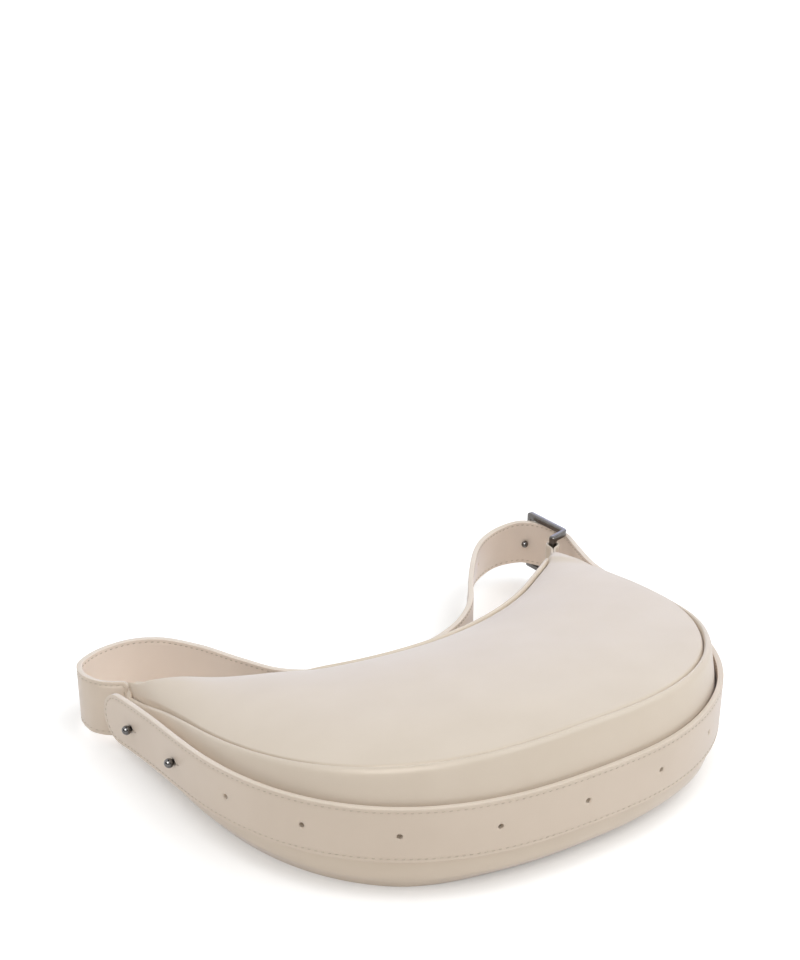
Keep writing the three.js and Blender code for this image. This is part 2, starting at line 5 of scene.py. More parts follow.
import bmesh
import bpy
import numpy as np
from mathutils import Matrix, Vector


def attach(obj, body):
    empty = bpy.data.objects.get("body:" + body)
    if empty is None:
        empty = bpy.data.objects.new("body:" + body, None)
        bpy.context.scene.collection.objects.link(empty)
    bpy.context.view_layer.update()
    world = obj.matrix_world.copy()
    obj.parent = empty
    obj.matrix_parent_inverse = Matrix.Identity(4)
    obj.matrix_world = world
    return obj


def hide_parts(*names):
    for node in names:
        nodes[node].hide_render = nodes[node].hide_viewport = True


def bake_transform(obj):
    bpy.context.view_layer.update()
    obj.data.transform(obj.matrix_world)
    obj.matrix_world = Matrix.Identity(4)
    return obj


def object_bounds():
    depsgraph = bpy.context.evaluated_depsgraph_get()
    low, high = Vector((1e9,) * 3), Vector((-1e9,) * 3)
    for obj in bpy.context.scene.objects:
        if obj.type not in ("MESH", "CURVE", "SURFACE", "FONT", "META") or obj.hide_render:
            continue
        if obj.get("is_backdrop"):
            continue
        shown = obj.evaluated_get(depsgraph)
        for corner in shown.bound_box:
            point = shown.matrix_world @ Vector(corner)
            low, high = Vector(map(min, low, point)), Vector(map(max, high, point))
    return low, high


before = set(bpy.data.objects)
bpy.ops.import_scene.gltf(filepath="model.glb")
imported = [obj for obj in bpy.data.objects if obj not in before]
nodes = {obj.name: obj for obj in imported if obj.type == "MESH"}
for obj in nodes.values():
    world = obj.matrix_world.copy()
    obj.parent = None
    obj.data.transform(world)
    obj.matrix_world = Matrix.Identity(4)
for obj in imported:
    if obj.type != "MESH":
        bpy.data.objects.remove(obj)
cad_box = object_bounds()
MM = 0.001

# Camera, in metres
CAMERA_PLACE = Vector((-0.5597, -0.7447, 0.5867))
CAMERA_TARGET = Vector((0, 0.0943, 0))
CAMERA_LENS = 62.43
CAMERA_SENSOR = 36
CAMERA_SHIFT = (-0.0155, 0.2519)

# Outline of the body, seen from above
HALF_WIDTH = 178
BELLY_Y = 94
BELLY_DROP = 191
BELLY_POWER = 2.5
HORN_LENGTH = 88
HORN_FLARE = 2
MOUTH_Y = 95
MOUTH_RADIUS = 221
MOUTH_HALF_ANGLE = math.radians(53.6)

# Stations run from -1 at the left tip, through 0 at the bottom centre, to 1 at the right tip
TIP_LEFT = -0.975
TIP_RIGHT = 0.94
MOUTH_END = {-1: -0.966, 1: TIP_RIGHT}
FACING_LEFT = -0.945
FACING_RIGHT = 0.905
BACK_FACING_END = 0.972
RIM_END = FACING_RIGHT - 0.02
CORNER_START = FACING_RIGHT - 0.03
CORNER_END = 0.965
GUSSET_END = {-1: TIP_LEFT, 1: 0.96}
BOARD_END = 0.62
LINING_END = 0.82
LINING_GUSSET_END = 0.9

# Heights of the seams over the floor
SEAM_HEIGHT = 92
SEAM_HEIGHT_LEFT = 37
SEAM_HEIGHT_RIGHT = 58
SEAM_POWER = 1.7
MOUTH_HEIGHT = 60
MOUTH_HEIGHT_LEFT = 47
MOUTH_HEIGHT_RIGHT = 56
SEAM_INSET = 4
BASE_INSET = 2.5
BASE_INSET_LOST = 1.5
GUSSET_BULGE = 8
TIP_BULGE = 1.2
TIP_POWER = 8
TIP_LEAVE = 4
TIP_ARRIVE = 3
DOME_RATIO = 0.065

# Layers
LEATHER = 2.2
BOARD = 1.2
LINING = 0.8
LINING_GAP = 3.2
LINING_INSET = 8
LINING_EDGE = 14
GAP = 0.3
POCKET_HALF_WIDTH = 75
POCKET_LOW = -25.5
POCKET_DEPTH = 95
POCKET_THICKNESS = 0.9
POCKET_BOW = 0.6

# Strap
STRAP_WIDTH = 37
STRAP_HALF = STRAP_WIDTH / 2
STRAP_OFFSET = 10.3
TAIL_LIFT = 3
TAIL_LIFT_FROM = 0.85
WRAP_START = 0.68
TAIL_END = -0.993
STRAP_HEIGHT = 47.6
STRAP_DROP_LEFT = 18.2
STRAP_DROP_RIGHT = 19.5
SEWN_CORNER = 5
HOLE_PITCH = 60
HOLE_RADIUS = 1.8
HOLE_CLEAR = 8
STUD_HOLE_RADIUS = 2.3
STUD_SLIT = 5
FIRST_STUD = 368
LAYER_GROOVE = 0.14

# Stitches
STITCH_MARGIN = 2.5
STITCH_PITCH = 4.4
STITCH_LENGTH = 2.4
STITCH_WIDTH = 0.7
STITCH_HEIGHT = 0.28
STITCH_SLANT = math.radians(9)
BELT_STITCH_OUT = 1.82
MOUTH_STITCH_OUT = 0.12
MOUTH_STITCH_RISE = 2.6
MOUTH_STITCH_END = 0.9

# Metal parts
TAIL_BALL_RADIUS = 3.2
TAIL_NECK = 1.6
TAIL_FOOT_RADIUS = 3
BUCKLE_BALL_RADIUS = 2.7
BUCKLE_NECK = 2.2
BUCKLE_STUD_OUT = 5.2
STUD_NECK_RADIUS = 1.3
# Where a turned solid closes
POLE_RADIUS = 0.05
BUCKLE_LEG = np.array([208.7, 238.2])
BUCKLE_CORNER = np.array([209.8, 196])
BUCKLE_HEEL = np.array([194.5, 191.3])
BUCKLE_BEND = 3
BUCKLE_BAR = 4.4
BUCKLE_LOW_BAR = 3.6
BUCKLE_LOW = 11.6
BUCKLE_HIGH = 58
TAB_ROOT = np.array([182.5, 174.5])
TAB_MIDDLE_Z = 34
TAB_HEIGHT = 35.4
TAB_LOOP = 4.5
TAB_LOOP_TURN = math.radians(100)

# Zip
ZIP_HEIGHT = 30
ZIP_CHANNEL = 14
ZIP_TOP = ZIP_HEIGHT + ZIP_CHANNEL / 2
ZIP_BOTTOM = ZIP_HEIGHT - ZIP_CHANNEL / 2
ZIP_END = math.radians(48.5)
ZIP_REST = math.radians(-45)
PULL_LENGTH = 20
PULL_OUT = 1.8
TOOTH_PITCH = 2.6
TAPE_END = 0.95
TAPE_INSETS = (2.5, 3.3)
TAPE_RISES = (3.5, 12)
TOOTH_DEPTHS = (-4.2, -1.6)
STOP_DEPTHS = (-4.4, -1.5)
END_TAB_DEPTHS = (-2.1, -0.2)
SLIDER_HALF_LENGTH = 7
SLIDER_HALF_WIDTH = 4.6
SLIDER_TAPER = 0.06
# Past the zip's ends, in radians
STOP_PAST = 0.008
END_TAB_PAST = 0.045

# The rim leaves the mouth's arc on the right and runs straight on
RIM_STRAIGHT_FROM = math.radians(35)
RIM_STRETCH = 0.97
RIM_BEND = ZIP_TOP + 6
RIM_ROLL = 1.4

# Local shapes: an amount and the stations between which it grows, or only those where it is lost.
# Those of the left side count stations to the left
SEAM_LIFT_LEFT = (1.5, 0.92, 0.985)
TUCK = (1.9, 0.1, 0.32)
TUCK_LOST = (0.6, 0.85)
HIDDEN_RIGHT = (2.8, 0.45, 0.62)
HIDDEN_LEFT = (2.7, 0.82, 0.97)
PUFF_LEFT = (2.8, 0.33, 0.5)
PUFF_LEFT_LOST = (0.9, 0.972)
PUFF_RIGHT = (2, FACING_RIGHT - 0.08, FACING_RIGHT - 0.03)
TURNED_UNDER = (6.5, -0.34, -0.14)
TURNED_UNDER_LOST = (0.15, 0.32)
RIM_SUNK_LEFT = (2.4, 0.3, 0.5)
RIM_COVERED = (2.9, FACING_RIGHT - 0.055, FACING_RIGHT - 0.015)

# Bells: an amount in the middle and a width
PUFF_BELL = (2.6, 0.09)
PUFF_BELL_STATION = -0.79
EDGE_ROLL = (3.2, 1.15)
MOUTH_ROLL = (1.6, 1.8)
PUFF_START = (1, 2.5)

# Front panel
PANEL_MOUTH_INSET = 3.2
PANEL_FADE = 45
PANEL_WAVE = 0.55
PANEL_FIRM_SPAN = 30
PANEL_EDGE_DROP = 0.4
PANEL_TURN_FROM = 0.9
PANEL_MOUTH_TURN = 0.009
PANEL_EDGE_TURN = 0.015


def mix(first, second, share):
    return first + (second - first) * share


def unit(vectors):
    return vectors / np.linalg.norm(vectors, axis=-1, keepdims=True)


def eased(value, low, high):
    """0 up to low, 1 from high on, smooth between them."""
    share = np.clip((value - low) / (high - low), 0, 1)
    return share ** 2 * (3 - 2 * share)


def grown(value, amount, low, high):
    return amount * eased(value, low, high)


def bell(distance, amount, width):
    return amount * np.exp(-(distance / width) ** 2)


def points_of(x, y, z):
    return np.stack(np.broadcast_arrays(x, y, z), axis=-1)


def curve_between(start, end, leave, arrive, share):
    squared, cubed = share ** 2, share ** 3
    bend = (cubed - 2 * squared + share) * leave + (cubed - squared) * arrive
    return mix(start, end, 3 * squared - 2 * cubed) + bend


def pulled_curve(corners, share):
    """Curve from the first corner to the last one, pulled by those between."""
    while len(corners) > 1:
        corners = [mix(first, second, share) for first, second in zip(corners, corners[1:])]
    return corners[0]


def marks_along(line):
    """Distance of each point of a line from its start."""
    return np.concatenate([[0], np.cumsum(np.linalg.norm(np.diff(line, axis=0), axis=1))])


def read_line(line, marks, distance):
    return np.stack([np.interp(distance, marks, axis) for axis in line.T], axis=-1)


class Path:
    """Smooth curve through points, read by the distance along it."""
    STEPS = 40
    REACH = 0.6

    def __init__(self, points, knot_power):
        points = np.asarray(points, float)
        first = 2 * points[0] - points[1]
        last = 2 * points[-1] - points[-2]
        corners = np.vstack([first, points, last])
        spans = [self.span(corners[i:i + 4], knot_power) for i in range(len(points) - 1)]
        self.line = np.vstack([*spans, points[-1:]])
        self.marks = marks_along(self.line)
        self.length = self.marks[-1]

    def span(self, corners, knot_power):
        before, start, end, after = corners
        gap_in, gap, gap_out = np.linalg.norm(np.diff(corners, axis=0), axis=1) ** knot_power
        leave = (start - before) / gap_in - (end - before) / (gap_in + gap) + (end - start) / gap
        arrive = (end - start) / gap - (after - start) / (gap + gap_out) + (after - end) / gap_out
        share = np.linspace(0, 1, self.STEPS, endpoint=False)[:, None]
        return curve_between(start, end, gap * leave, gap * arrive, share)

    def at(self, distance):
        return read_line(self.line, self.marks, distance)

    def direction(self, distance):
        ahead = self.at(np.minimum(distance + self.REACH, self.length))
        behind = self.at(np.maximum(distance - self.REACH, 0))
        return unit(ahead - behind)

    def nearest(self, place):
        gaps = np.linalg.norm(self.line[:, :2] - np.asarray(place), axis=1)
        return self.marks[np.argmin(gaps)]


def outline_points():
    angle = np.linspace(0, math.pi / 2, 25)
    belly_x = HALF_WIDTH * np.sin(angle) ** (2 / BELLY_POWER)
    belly_y = BELLY_Y - BELLY_DROP * np.clip(np.cos(angle), 0, 1) ** (2 / BELLY_POWER)
    share = np.arange(1, 7) / 6
    x = np.concatenate([belly_x, HALF_WIDTH + HORN_FLARE * share])
    y = np.concatenate([belly_y, BELLY_Y + HORN_LENGTH * share])
    half = np.column_stack([x, y])
    return np.vstack([half[:0:-1] * (-1, 1), half])


outline = Path(outline_points(), 0)


def outline_distance(station):
    return (station + 1) * outline.length / 2


def on_outline(station, out, z):
    place = outline.at(outline_distance(station))
    along = outline.direction(outline_distance(station))
    return points_of(place[..., 0] + along[..., 1] * out, place[..., 1] - along[..., 0] * out, z)


def at_mouth_angle(angle, inset, z):
    radius = MOUTH_RADIUS + inset
    return points_of(radius * np.sin(angle), MOUTH_Y + MOUTH_RADIUS - radius * np.cos(angle), z)


def on_mouth(station, inset, z):
    return at_mouth_angle(station * MOUTH_HALF_ANGLE, inset, z)


def on_rim(station, inset, z):
    """Like on_mouth, but near the right tip the line runs straight on."""
    angle = station * MOUTH_HALF_ANGLE
    bent = np.minimum(angle, RIM_STRAIGHT_FROM)
    along = MOUTH_RADIUS * RIM_STRETCH * (angle - bent)
    place = at_mouth_angle(bent, inset, z)
    return place + points_of(np.cos(bent) * along, np.sin(bent) * along, 0 * place[..., 2])


def rim_share(z, top):
    """0 beside the zip, rising to 1 at the rim."""
    return np.clip((z - RIM_BEND) / (top - RIM_ROLL - RIM_BEND), 0, 1)


def fullness(share):
    """Fullness of a panel across its width: steep at the mouth, soft at the seam, about 1 at most."""
    return (1 - (1 - share) ** 8) * (1 - share ** 3) / 0.88


def seam_height(station):
    tip = np.where(station < 0, SEAM_HEIGHT_LEFT, SEAM_HEIGHT_RIGHT)
    return mix(SEAM_HEIGHT, tip, np.abs(station) ** SEAM_POWER) + grown(-station, *SEAM_LIFT_LEFT)


def mouth_height(station):
    tip = np.where(station < 0, MOUTH_HEIGHT_LEFT, MOUTH_HEIGHT_RIGHT)
    return mix(MOUTH_HEIGHT, tip, station ** 2)


def bulge_at(station):
    return GUSSET_BULGE * (1 - station ** TIP_POWER)


def tuck_at(station):
    """How far the strap presses the gusset in at the right side."""
    return grown(station, *TUCK) * (1 - eased(station, *TUCK_LOST))


def hidden_at(station):
    """How far the gusset's seam edge sinks behind the front panel on the far right and at the left tip."""
    return grown(station, *HIDDEN_RIGHT) + grown(-station, *HIDDEN_LEFT)


def puff_at(station):
    """Extra fullness of the front panel beside its mouth towards the tips."""
    swell = grown(-station, *PUFF_LEFT) + bell(station - PUFF_BELL_STATION, *PUFF_BELL)
    return swell * (1 - eased(-station, *PUFF_LEFT_LOST)) + grown(station, *PUFF_RIGHT)


def base_inset_at(station):
    """How far the base's edge stands in from the outline. It turns under most in the middle."""
    turned_under = grown(station, *TURNED_UNDER) * (1 - eased(station, *TURNED_UNDER_LOST))
    return BASE_INSET + turned_under - BASE_INSET_LOST * station ** TIP_POWER


def soft_wave(x, y):
    """Gentle unevenness of a soft panel, between about -1 and 1."""
    long_wave = np.sin(x / 41 + 1.3) * np.cos(y / 36 + 0.4)
    short_wave = np.sin((x + 0.7 * y) / 19 + 2.1) * np.sin((y - 0.4 * x) / 27)
    return 0.7 * long_wave + 0.3 * short_wave


# Meshes
def add_object(name, data):
    item = bpy.data.objects.new(name, data)
    bpy.context.scene.collection.objects.link(item)
    return item


def add_mesh(name, points, faces, material, sharp_degrees=50):
    mesh = bpy.data.meshes.new(name)
    mesh.from_pydata((np.asarray(points) * MM).tolist(), [], [list(map(int, face)) for face in faces])
    work = bmesh.new()
    work.from_mesh(mesh)
    bmesh.ops.recalc_face_normals(work, faces=work.faces)
    work.to_mesh(mesh)
    work.free()
    mesh.shade_smooth()
    mesh.set_sharp_from_angle(angle=math.radians(sharp_degrees))
    mesh.materials.append(material)
    return add_object(name, mesh)


def add_piece(name, shape, material, body, slot, *replaced, **options):
    """Adds a mesh that rides a body and takes the place of CAD nodes. Its slot is not used."""
    piece = add_mesh(name, *shape, material, **options)
    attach(piece, body)
    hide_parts(*replaced)
    return piece


def add_part(node, kind, shape, material, body="bag", slot=None, **options):
    """Adds a piece that is named after the node it replaces. Its slot, its kind unless told, is not used."""
    return add_piece(f"{node}_{kind}", shape, material, body, slot or kind, node, **options)


def merge(parts):
    points, faces, count = [], [], 0
    for part_points, part_faces in parts:
        points.append(np.asarray(part_points).reshape(-1, 3))
        faces.extend([[number + count for number in face] for face in part_faces])
        count += len(points[-1])
    return np.vstack(points), faces


def wrapped_faces(rows, columns, close_rows=False):
    """Quads of a grid whose columns close on themselves, and its rows too if asked."""
    number = np.arange(rows * columns).reshape(rows, columns)
    if close_rows:
        number = np.vstack([number, number[:1]])
    beside = np.roll(number, -1, axis=1)
    return np.stack([number[:-1], beside[:-1], beside[1:], number[1:]], axis=-1).reshape(-1, 4).tolist()


def ribbon(outer, inner):
    """Closed shell between two grids of points of the same size."""
    rows, columns = outer.shape[:2]
    ring = np.concatenate([outer, inner[:, ::-1]], axis=1)
    near = np.arange(columns - 1)
    far = 2 * columns - 1 - near
    cap = np.stack([near, far, far - 1, near + 1], axis=-1)
    last = cap + (rows - 1) * 2 * columns
    faces = wrapped_faces(rows, 2 * columns) + cap.tolist() + last.tolist()
    return ring.reshape(-1, 3), faces


def loft(rings):
    """Closed solid through rings of points, with a flat face on both ends."""
    rows, columns = rings.shape[:2]
    start = list(range(columns))
    end = [number + (rows - 1) * columns for number in start]
    return rings.reshape(-1, 3), wrapped_faces(rows, columns) + [start, end]


def smooth_rows(control, samples):
    """Curves through each row of control points, shaped (rows, points, 2)."""
    count = control.shape[1]
    position = np.linspace(0, count - 1, samples)
    index = np.minimum(position.astype(int), count - 2)
    share = (position - index)[None, :, None]
    pick = [control[:, np.clip(index + step, 0, count - 1)] for step in (-1, 0, 1, 2)]
    before, start, end, after = pick
    return curve_between(start, end, (end - before) / 2, (after - start) / 2, share)


def inset_rows(rows, depth):
    """Rows moved to their right-hand side, seen along each row."""
    along = unit(np.gradient(rows, axis=1))
    return rows + depth * np.stack([along[..., 1], -along[..., 0]], axis=-1)


def rows_of(*pairs):
    """Grid of control points from pairs, each a column that may hold one value per station."""
    columns = [np.stack(np.broadcast_arrays(*pair), axis=-1) for pair in pairs]
    return np.stack(np.broadcast_arrays(*columns), axis=1).astype(float)


def frames_to_points(line, along, rows):
    """Points of rows of (out, z) that stand across a line in plan."""
    x = line[:, None, 0] + along[:, None, 1] * rows[..., 0]
    y = line[:, None, 1] - along[:, None, 0] * rows[..., 0]
    return points_of(x, y, rows[..., 1])


def lathe(profile, origin, axis):
    """Turned solid from rows of (radius, distance along the axis)."""
    profile = np.asarray(profile, float)
    axis = unit(np.asarray(axis, float))
    first = unit(np.cross(axis, (0.1, 0.2, 1)))
    second = np.cross(axis, first)
    turn = np.linspace(0, 2 * math.pi, 40, endpoint=False)[:, None]
    ring = np.cos(turn) * first + np.sin(turn) * second
    return loft(np.asarray(origin) + profile[:, 1, None, None] * axis + profile[:, 0, None, None] * ring)


# Rings of a stitch: share of its half length, size and dip
STITCH_RINGS = ((-1, 0.3, -0.36), (-0.6, 0.9, -0.06), (0, 1, 0), (0.6, 0.9, -0.06), (1, 0.3, -0.36))


def stitches(centre, along, normal):
    """Short threads that dip into the leather at both ends, slightly slanted."""
    across = np.cross(normal, along)
    lean = along * math.cos(STITCH_SLANT) + across * math.sin(STITCH_SLANT)
    beside = np.cross(normal, lean)
    turn = np.linspace(0, 2 * math.pi, 6, endpoint=False)
    rings = []
    for share, size, dip in STITCH_RINGS:
        middle = centre + lean * (share * STITCH_LENGTH / 2) + normal * dip
        side = size * STITCH_WIDTH / 2 * np.cos(turn)
        rise = size * STITCH_HEIGHT * np.sin(turn)
        rings.append(middle[:, None] + beside[:, None] * side[:, None] + normal[:, None] * rise[:, None])
    solid = np.stack(rings, axis=1)
    return merge([loft(one) for one in solid])


def chamfered(outline_2d, low, high, place, chamfer=0.3):
    """Plate with chamfered edges. place maps (first, second, depth) to points."""
    outline_2d = np.asarray(outline_2d, float)
    middle = outline_2d.mean(axis=0)
    reach = np.abs(outline_2d - middle).max(axis=0)
    shrunk = middle + (outline_2d - middle) * (1 - chamfer / reach)
    rows = ((shrunk, low), (outline_2d, low + chamfer), (outline_2d, high - chamfer), (shrunk, high))
    return loft(np.stack([place(loop[:, 0], loop[:, 1], depth) for loop, depth in rows]))


def rounded_rectangle(first, second, radius, side_steps=(1, 1)):
    """Closed loop of points from corner (x, y) to corner (x, y)."""
    (x0, y0), (x1, y1) = first, second
    turn = np.linspace(0, math.pi / 2, 7)
    centres = ((x1 - radius, y1 - radius), (x0 + radius, y1 - radius),
               (x0 + radius, y0 + radius), (x1 - radius, y0 + radius))
    loop = []
    for quarter, (x, y) in enumerate(centres):
        angle = turn + quarter * math.pi / 2
        loop.append(np.column_stack([x + radius * np.cos(angle), y + radius * np.sin(angle)]))
    filled = []
    for quarter, corner in enumerate(loop):
        following = loop[(quarter + 1) % 4][0]
        steps = side_steps[quarter % 2]
        share = np.linspace(0, 1, steps + 1)[1:-1, None]
        filled.extend([corner, mix(corner[-1], following, share)])
    return np.vstack(filled)


def ring_plate(outer, inner, half_thickness, place):
    """Flat ring between two loops with softened edges. place maps (first, second, depth) to points."""
    # Share of the way between the loops and share of the half thickness
    lanes = ((0, 0.84), (0.03, 0.95), (0.08, 1), (0.92, 1), (0.97, 0.95), (1, 0.84))
    front = [(mix(outer, inner, share), depth * half_thickness) for share, depth in lanes]
    back = [(loop, -depth) for loop, depth in reversed(front)]
    rows = np.stack([place(loop[:, 0], loop[:, 1], depth) for loop, depth in front + back])
    return rows.reshape(-1, 3), wrapped_faces(*rows.shape[:2], close_rows=True)


# Materials, in whose nodes lengths are metres
def set_socket(tree, socket, value):
    if isinstance(value, bpy.types.NodeSocket):
        tree.links.new(value, socket)
    else:
        socket.default_value = value


def set_inputs(tree, node, **inputs):
    """Sets or links inputs by name, with _ for a space."""
    for name, value in inputs.items():
        set_socket(tree, node.inputs[name.replace("_", " ")], value)


def add_node(tree, kind, *ordered, settings=None, **named):
    """New node with its inputs set or linked, in order or by name."""
    node = tree.nodes.new(kind)
    for name, value in (settings or {}).items():
        setattr(node, name, value)
    for socket, value in zip(node.inputs, ordered):
        set_socket(tree, socket, value)
    set_inputs(tree, node, **named)
    return node


def start_material(name, **inputs):
    material = bpy.data.materials.new(name)
    material.use_nodes = True
    tree = material.node_tree
    shader = tree.nodes["Principled BSDF"]
    set_inputs(tree, shader, **inputs)
    place = add_node(tree, "ShaderNodeTexCoord").outputs["Object"]
    return material, tree, shader, place


def noise(tree, place, scale, detail, roughness=0.5):
    node = add_node(tree, "ShaderNodeTexNoise", Vector=place, Scale=scale, Detail=detail, Roughness=roughness)
    return node.outputs["Fac"]


def wave(tree, place, scale, direction):
    settings = {"bands_direction": direction}
    return add_node(tree, "ShaderNodeTexWave", settings=settings, Vector=place, Scale=scale).outputs["Fac"]


def bump(tree, strength, distance, height, **normal):
    node = add_node(tree, "ShaderNodeBump", Strength=strength, Distance=distance, Height=height, **normal)
    return node.outputs["Normal"]


def colour_between(tree, value, first, second, low=0.3, high=0.7):
    ramp = add_node(tree, "ShaderNodeValToRGB", Fac=value)
    for element, place, colour in zip(ramp.color_ramp.elements, (low, high), (first, second)):
        element.position = place
        element.color = (*colour, 1)
    return ramp.outputs["Color"]


def value_between(tree, value, low, high):
    return add_node(tree, "ShaderNodeMapRange", Value=value, To_Min=low, To_Max=high).outputs["Result"]


def leather_material(name, first, second):
    material, tree, shader, place = start_material(
        name, Specular_IOR_Level=0.6, Sheen_Weight=0.3, Sheen_Roughness=0.35, Sheen_Tint=(0.84, 0.84, 1, 1))
    colour = colour_between(tree, noise(tree, place, 22, 4), first, second)
    roughness = value_between(tree, noise(tree, place, 55, 3), 0.36, 0.48)
    settings = {"feature": "SMOOTH_F1"}
    pebbles = add_node(tree, "ShaderNodeTexVoronoi", settings=settings, Vector=place, Scale=1100)
    grain = 0.1
    coarse = bump(tree, grain, 0.0004, pebbles.outputs["Distance"])
    fine = bump(tree, grain, 0.0002, noise(tree, place, 2600, 2), Normal=coarse)
    set_inputs(tree, shader, Base_Color=colour, Roughness=roughness, Normal=fine)
    return material


def cloth_material(name, first, second, threads):
    material, tree, shader, place = start_material(name, Roughness=0.85, Sheen_Weight=0.2)
    colour = colour_between(tree, noise(tree, place, 120, 5), first, second)
    weave = {}
    for direction in ("X", "Y", "Z"):
        weave = {"Normal": bump(tree, 0.25, 0.0003, wave(tree, place, threads, direction), **weave)}
    set_inputs(tree, shader, Base_Color=colour, **weave)
    return material


def metal_material(name, first, second, low, high):
    material, tree, shader, place = start_material(name, Metallic=1.0)
    colour = colour_between(tree, noise(tree, place, 260, 4), first, second, 0.35, 0.65)
    stretched = add_node(tree, "ShaderNodeMapping", Vector=place, Scale=(1, 1, 12)).outputs["Vector"]
    scratches = noise(tree, stretched, 420, 6, 0.65)
    roughness = value_between(tree, scratches, low, high)
    worn = bump(tree, 0.04, 0.0002, scratches)
    set_inputs(tree, shader, Base_Color=colour, Roughness=roughness, Normal=worn)
    return material


def thread_and_painted_shade_material():
    material, tree, shader, place = start_material("thread_and_painted_shade", Roughness=0.55, Sheen_Weight=0.15)
    # The thread's own tone, made darker as painted shade where the stitches sink into the leather
    colour = colour_between(tree, noise(tree, place, 900, 3), (0.50, 0.43, 0.34), (0.58, 0.50, 0.40))
    twist = bump(tree, 0.3, 0.0002, wave(tree, place, 900.0, "DIAGONAL"))
    set_inputs(tree, shader, Base_Color=colour, Normal=twist)
    return material


def board_material():
    material, tree, shader, place = start_material("board", Roughness=0.8)
    fibres = noise(tree, place, 300, 6, 0.7)
    colour = colour_between(tree, fibres, (0.30, 0.26, 0.21), (0.40, 0.35, 0.28))
    set_inputs(tree, shader, Base_Color=colour)
    return material


leather = leather_material("leather", (0.672, 0.580, 0.474), (0.702, 0.610, 0.504))
belt_leather = leather_material("belt_leather", (0.652, 0.552, 0.452), (0.682, 0.582, 0.482))
# Backing of the belt's inner side: partly its own lighter leather, partly painted light on those faces
belt_backing_and_painted_light = leather_material("belt_backing_and_painted_light", (0.830, 0.712, 0.615), (0.855, 0.737, 0.640))
# Edge paint of the belt's cut edges, lighter partly as its own tone and partly as a painted highlight
edge_paint_and_highlight = leather_material("edge_paint_and_highlight", (0.715, 0.625, 0.525), (0.745, 0.655, 0.555))
lining_cloth = cloth_material("lining_cloth", (0.45, 0.39, 0.31), (0.50, 0.44, 0.36), 500.0)
tape_cloth = cloth_material("tape_cloth", (0.58, 0.50, 0.40), (0.64, 0.56, 0.45), 700.0)
dark_chrome = metal_material("dark_chrome", (0.30, 0.29, 0.30), (0.36, 0.35, 0.36), 0.06, 0.16)
polished = metal_material("polished", (0.13, 0.125, 0.122), (0.17, 0.165, 0.162), 0.03, 0.07)
gunmetal = metal_material("gunmetal", (0.125, 0.117, 0.112), (0.158, 0.149, 0.143), 0.14, 0.26)
thread_and_painted_shade = thread_and_painted_shade_material()
board = board_material()


# Body of the bag
def front_sheet(first, last, depth, thickness, mouth_inset, edge_inset, rows=161, columns=81, roll=1):
    """Domed sheet from the mouth to the front seam. With roll 0 its edges aren't rolled."""
    station = np.linspace(first, last, rows)[:, None]
    covered = grown(station, *RIM_COVERED) * roll
    upright = eased(-station, PANEL_TURN_FROM, -TIP_LEFT)
    mouth = on_rim(station + PANEL_MOUTH_TURN * upright, mouth_inset - covered, mouth_height(station))
    edge_station = station - PANEL_EDGE_TURN * upright
    edge = on_outline(edge_station, -edge_inset, seam_height(edge_station) - PANEL_EDGE_DROP)
    span = np.linalg.norm(edge - mouth, axis=-1, keepdims=True)
    even = np.linspace(0, 1, columns)
    crowded = (1 - np.cos(math.pi * even)) / 2
    share = mix(crowded, even, 0.25)[None, :, None]
    from_mouth = span * share
    outer = mix(mouth, edge, share)
    dome = DOME_RATIO * span * fullness(share)
    firmness = np.minimum(1, span / PANEL_FIRM_SPAN) * roll
    edge_roll = bell(span * (1 - share), *EDGE_ROLL)
    mouth_roll = bell(from_mouth, *MOUTH_ROLL)
    uneven = PANEL_WAVE * soft_wave(outer[..., :1], outer[..., 1:2]) * 4 * share * (1 - share)
    puff = puff_at(station)[..., None] * (1 - bell(from_mouth, *PUFF_START))
    puff *= np.exp(-from_mouth / PANEL_FADE)
    outer[..., 2:] += dome - depth + firmness * (puff + uneven - edge_roll - mouth_roll)
    return ribbon(outer, outer - (0, 0, thickness))


def back_sheet(limit, low, thickness, mouth_inset, edge_gap):
    station = np.linspace(-limit, limit, 121)[:, None]
    mouth = on_mouth(station, mouth_inset, low)
    edge = on_outline(station, -base_inset_at(station) - edge_gap, low)
    share = np.linspace(0, 1, 25)[None, :, None]
    lower = mix(mouth, edge, share)
    return ribbon(lower + (0, 0, thickness), lower)


def gusset_profile(height, bulge, base, tuck, hidden):
    """Outer face of the gusset in rows of (out, z), from the front seam's valley to the floor."""
    edge = height - hidden
    return rows_of(
        (-SEAM_INSET - 0.2, edge - 4.4),
        (-SEAM_INSET + 0.1, edge - 1.2),
        (-2.9, edge + 0.3),
        (-1, edge - 0.4),
        (0.12 * bulge, edge - 3.4),
        (0.4 * bulge - 0.4 * tuck, 0.86 * height - 0.4 * hidden),
        (0.8 * bulge - tuck, 0.72 * height),
        (bulge - tuck, 0.52 * height),
        (0.92 * bulge - 0.8 * tuck, 0.32 * height),
        (0.72 * bulge - 0.2 * base, 0.15 * height),
        (0.24 * bulge - 0.45 * base, 0.05 * height + 0.6 + 0.08 * base),
        (GAP - base, 0 * height),
    )


# Rows of the smooth profile: how many, where its outer face starts, and where the layers behind it lie
PROFILE_ROWS = 45
FACE_FROM_ROW = 16
BOARD_ROWS = (20, 36)
LINING_ROWS = (19, 38)


def gusset_measures(station):
    """Columns of what gusset_profile takes, at stations."""
    measures = (seam_height, bulge_at, base_inset_at, tuck_at, hidden_at)
    return np.stack([measure(station) for measure in measures], axis=-1)


def profile_of(measures):
    """Smooth rows of the gusset's outer face."""
    return smooth_rows(gusset_profile(*measures.T), PROFILE_ROWS)


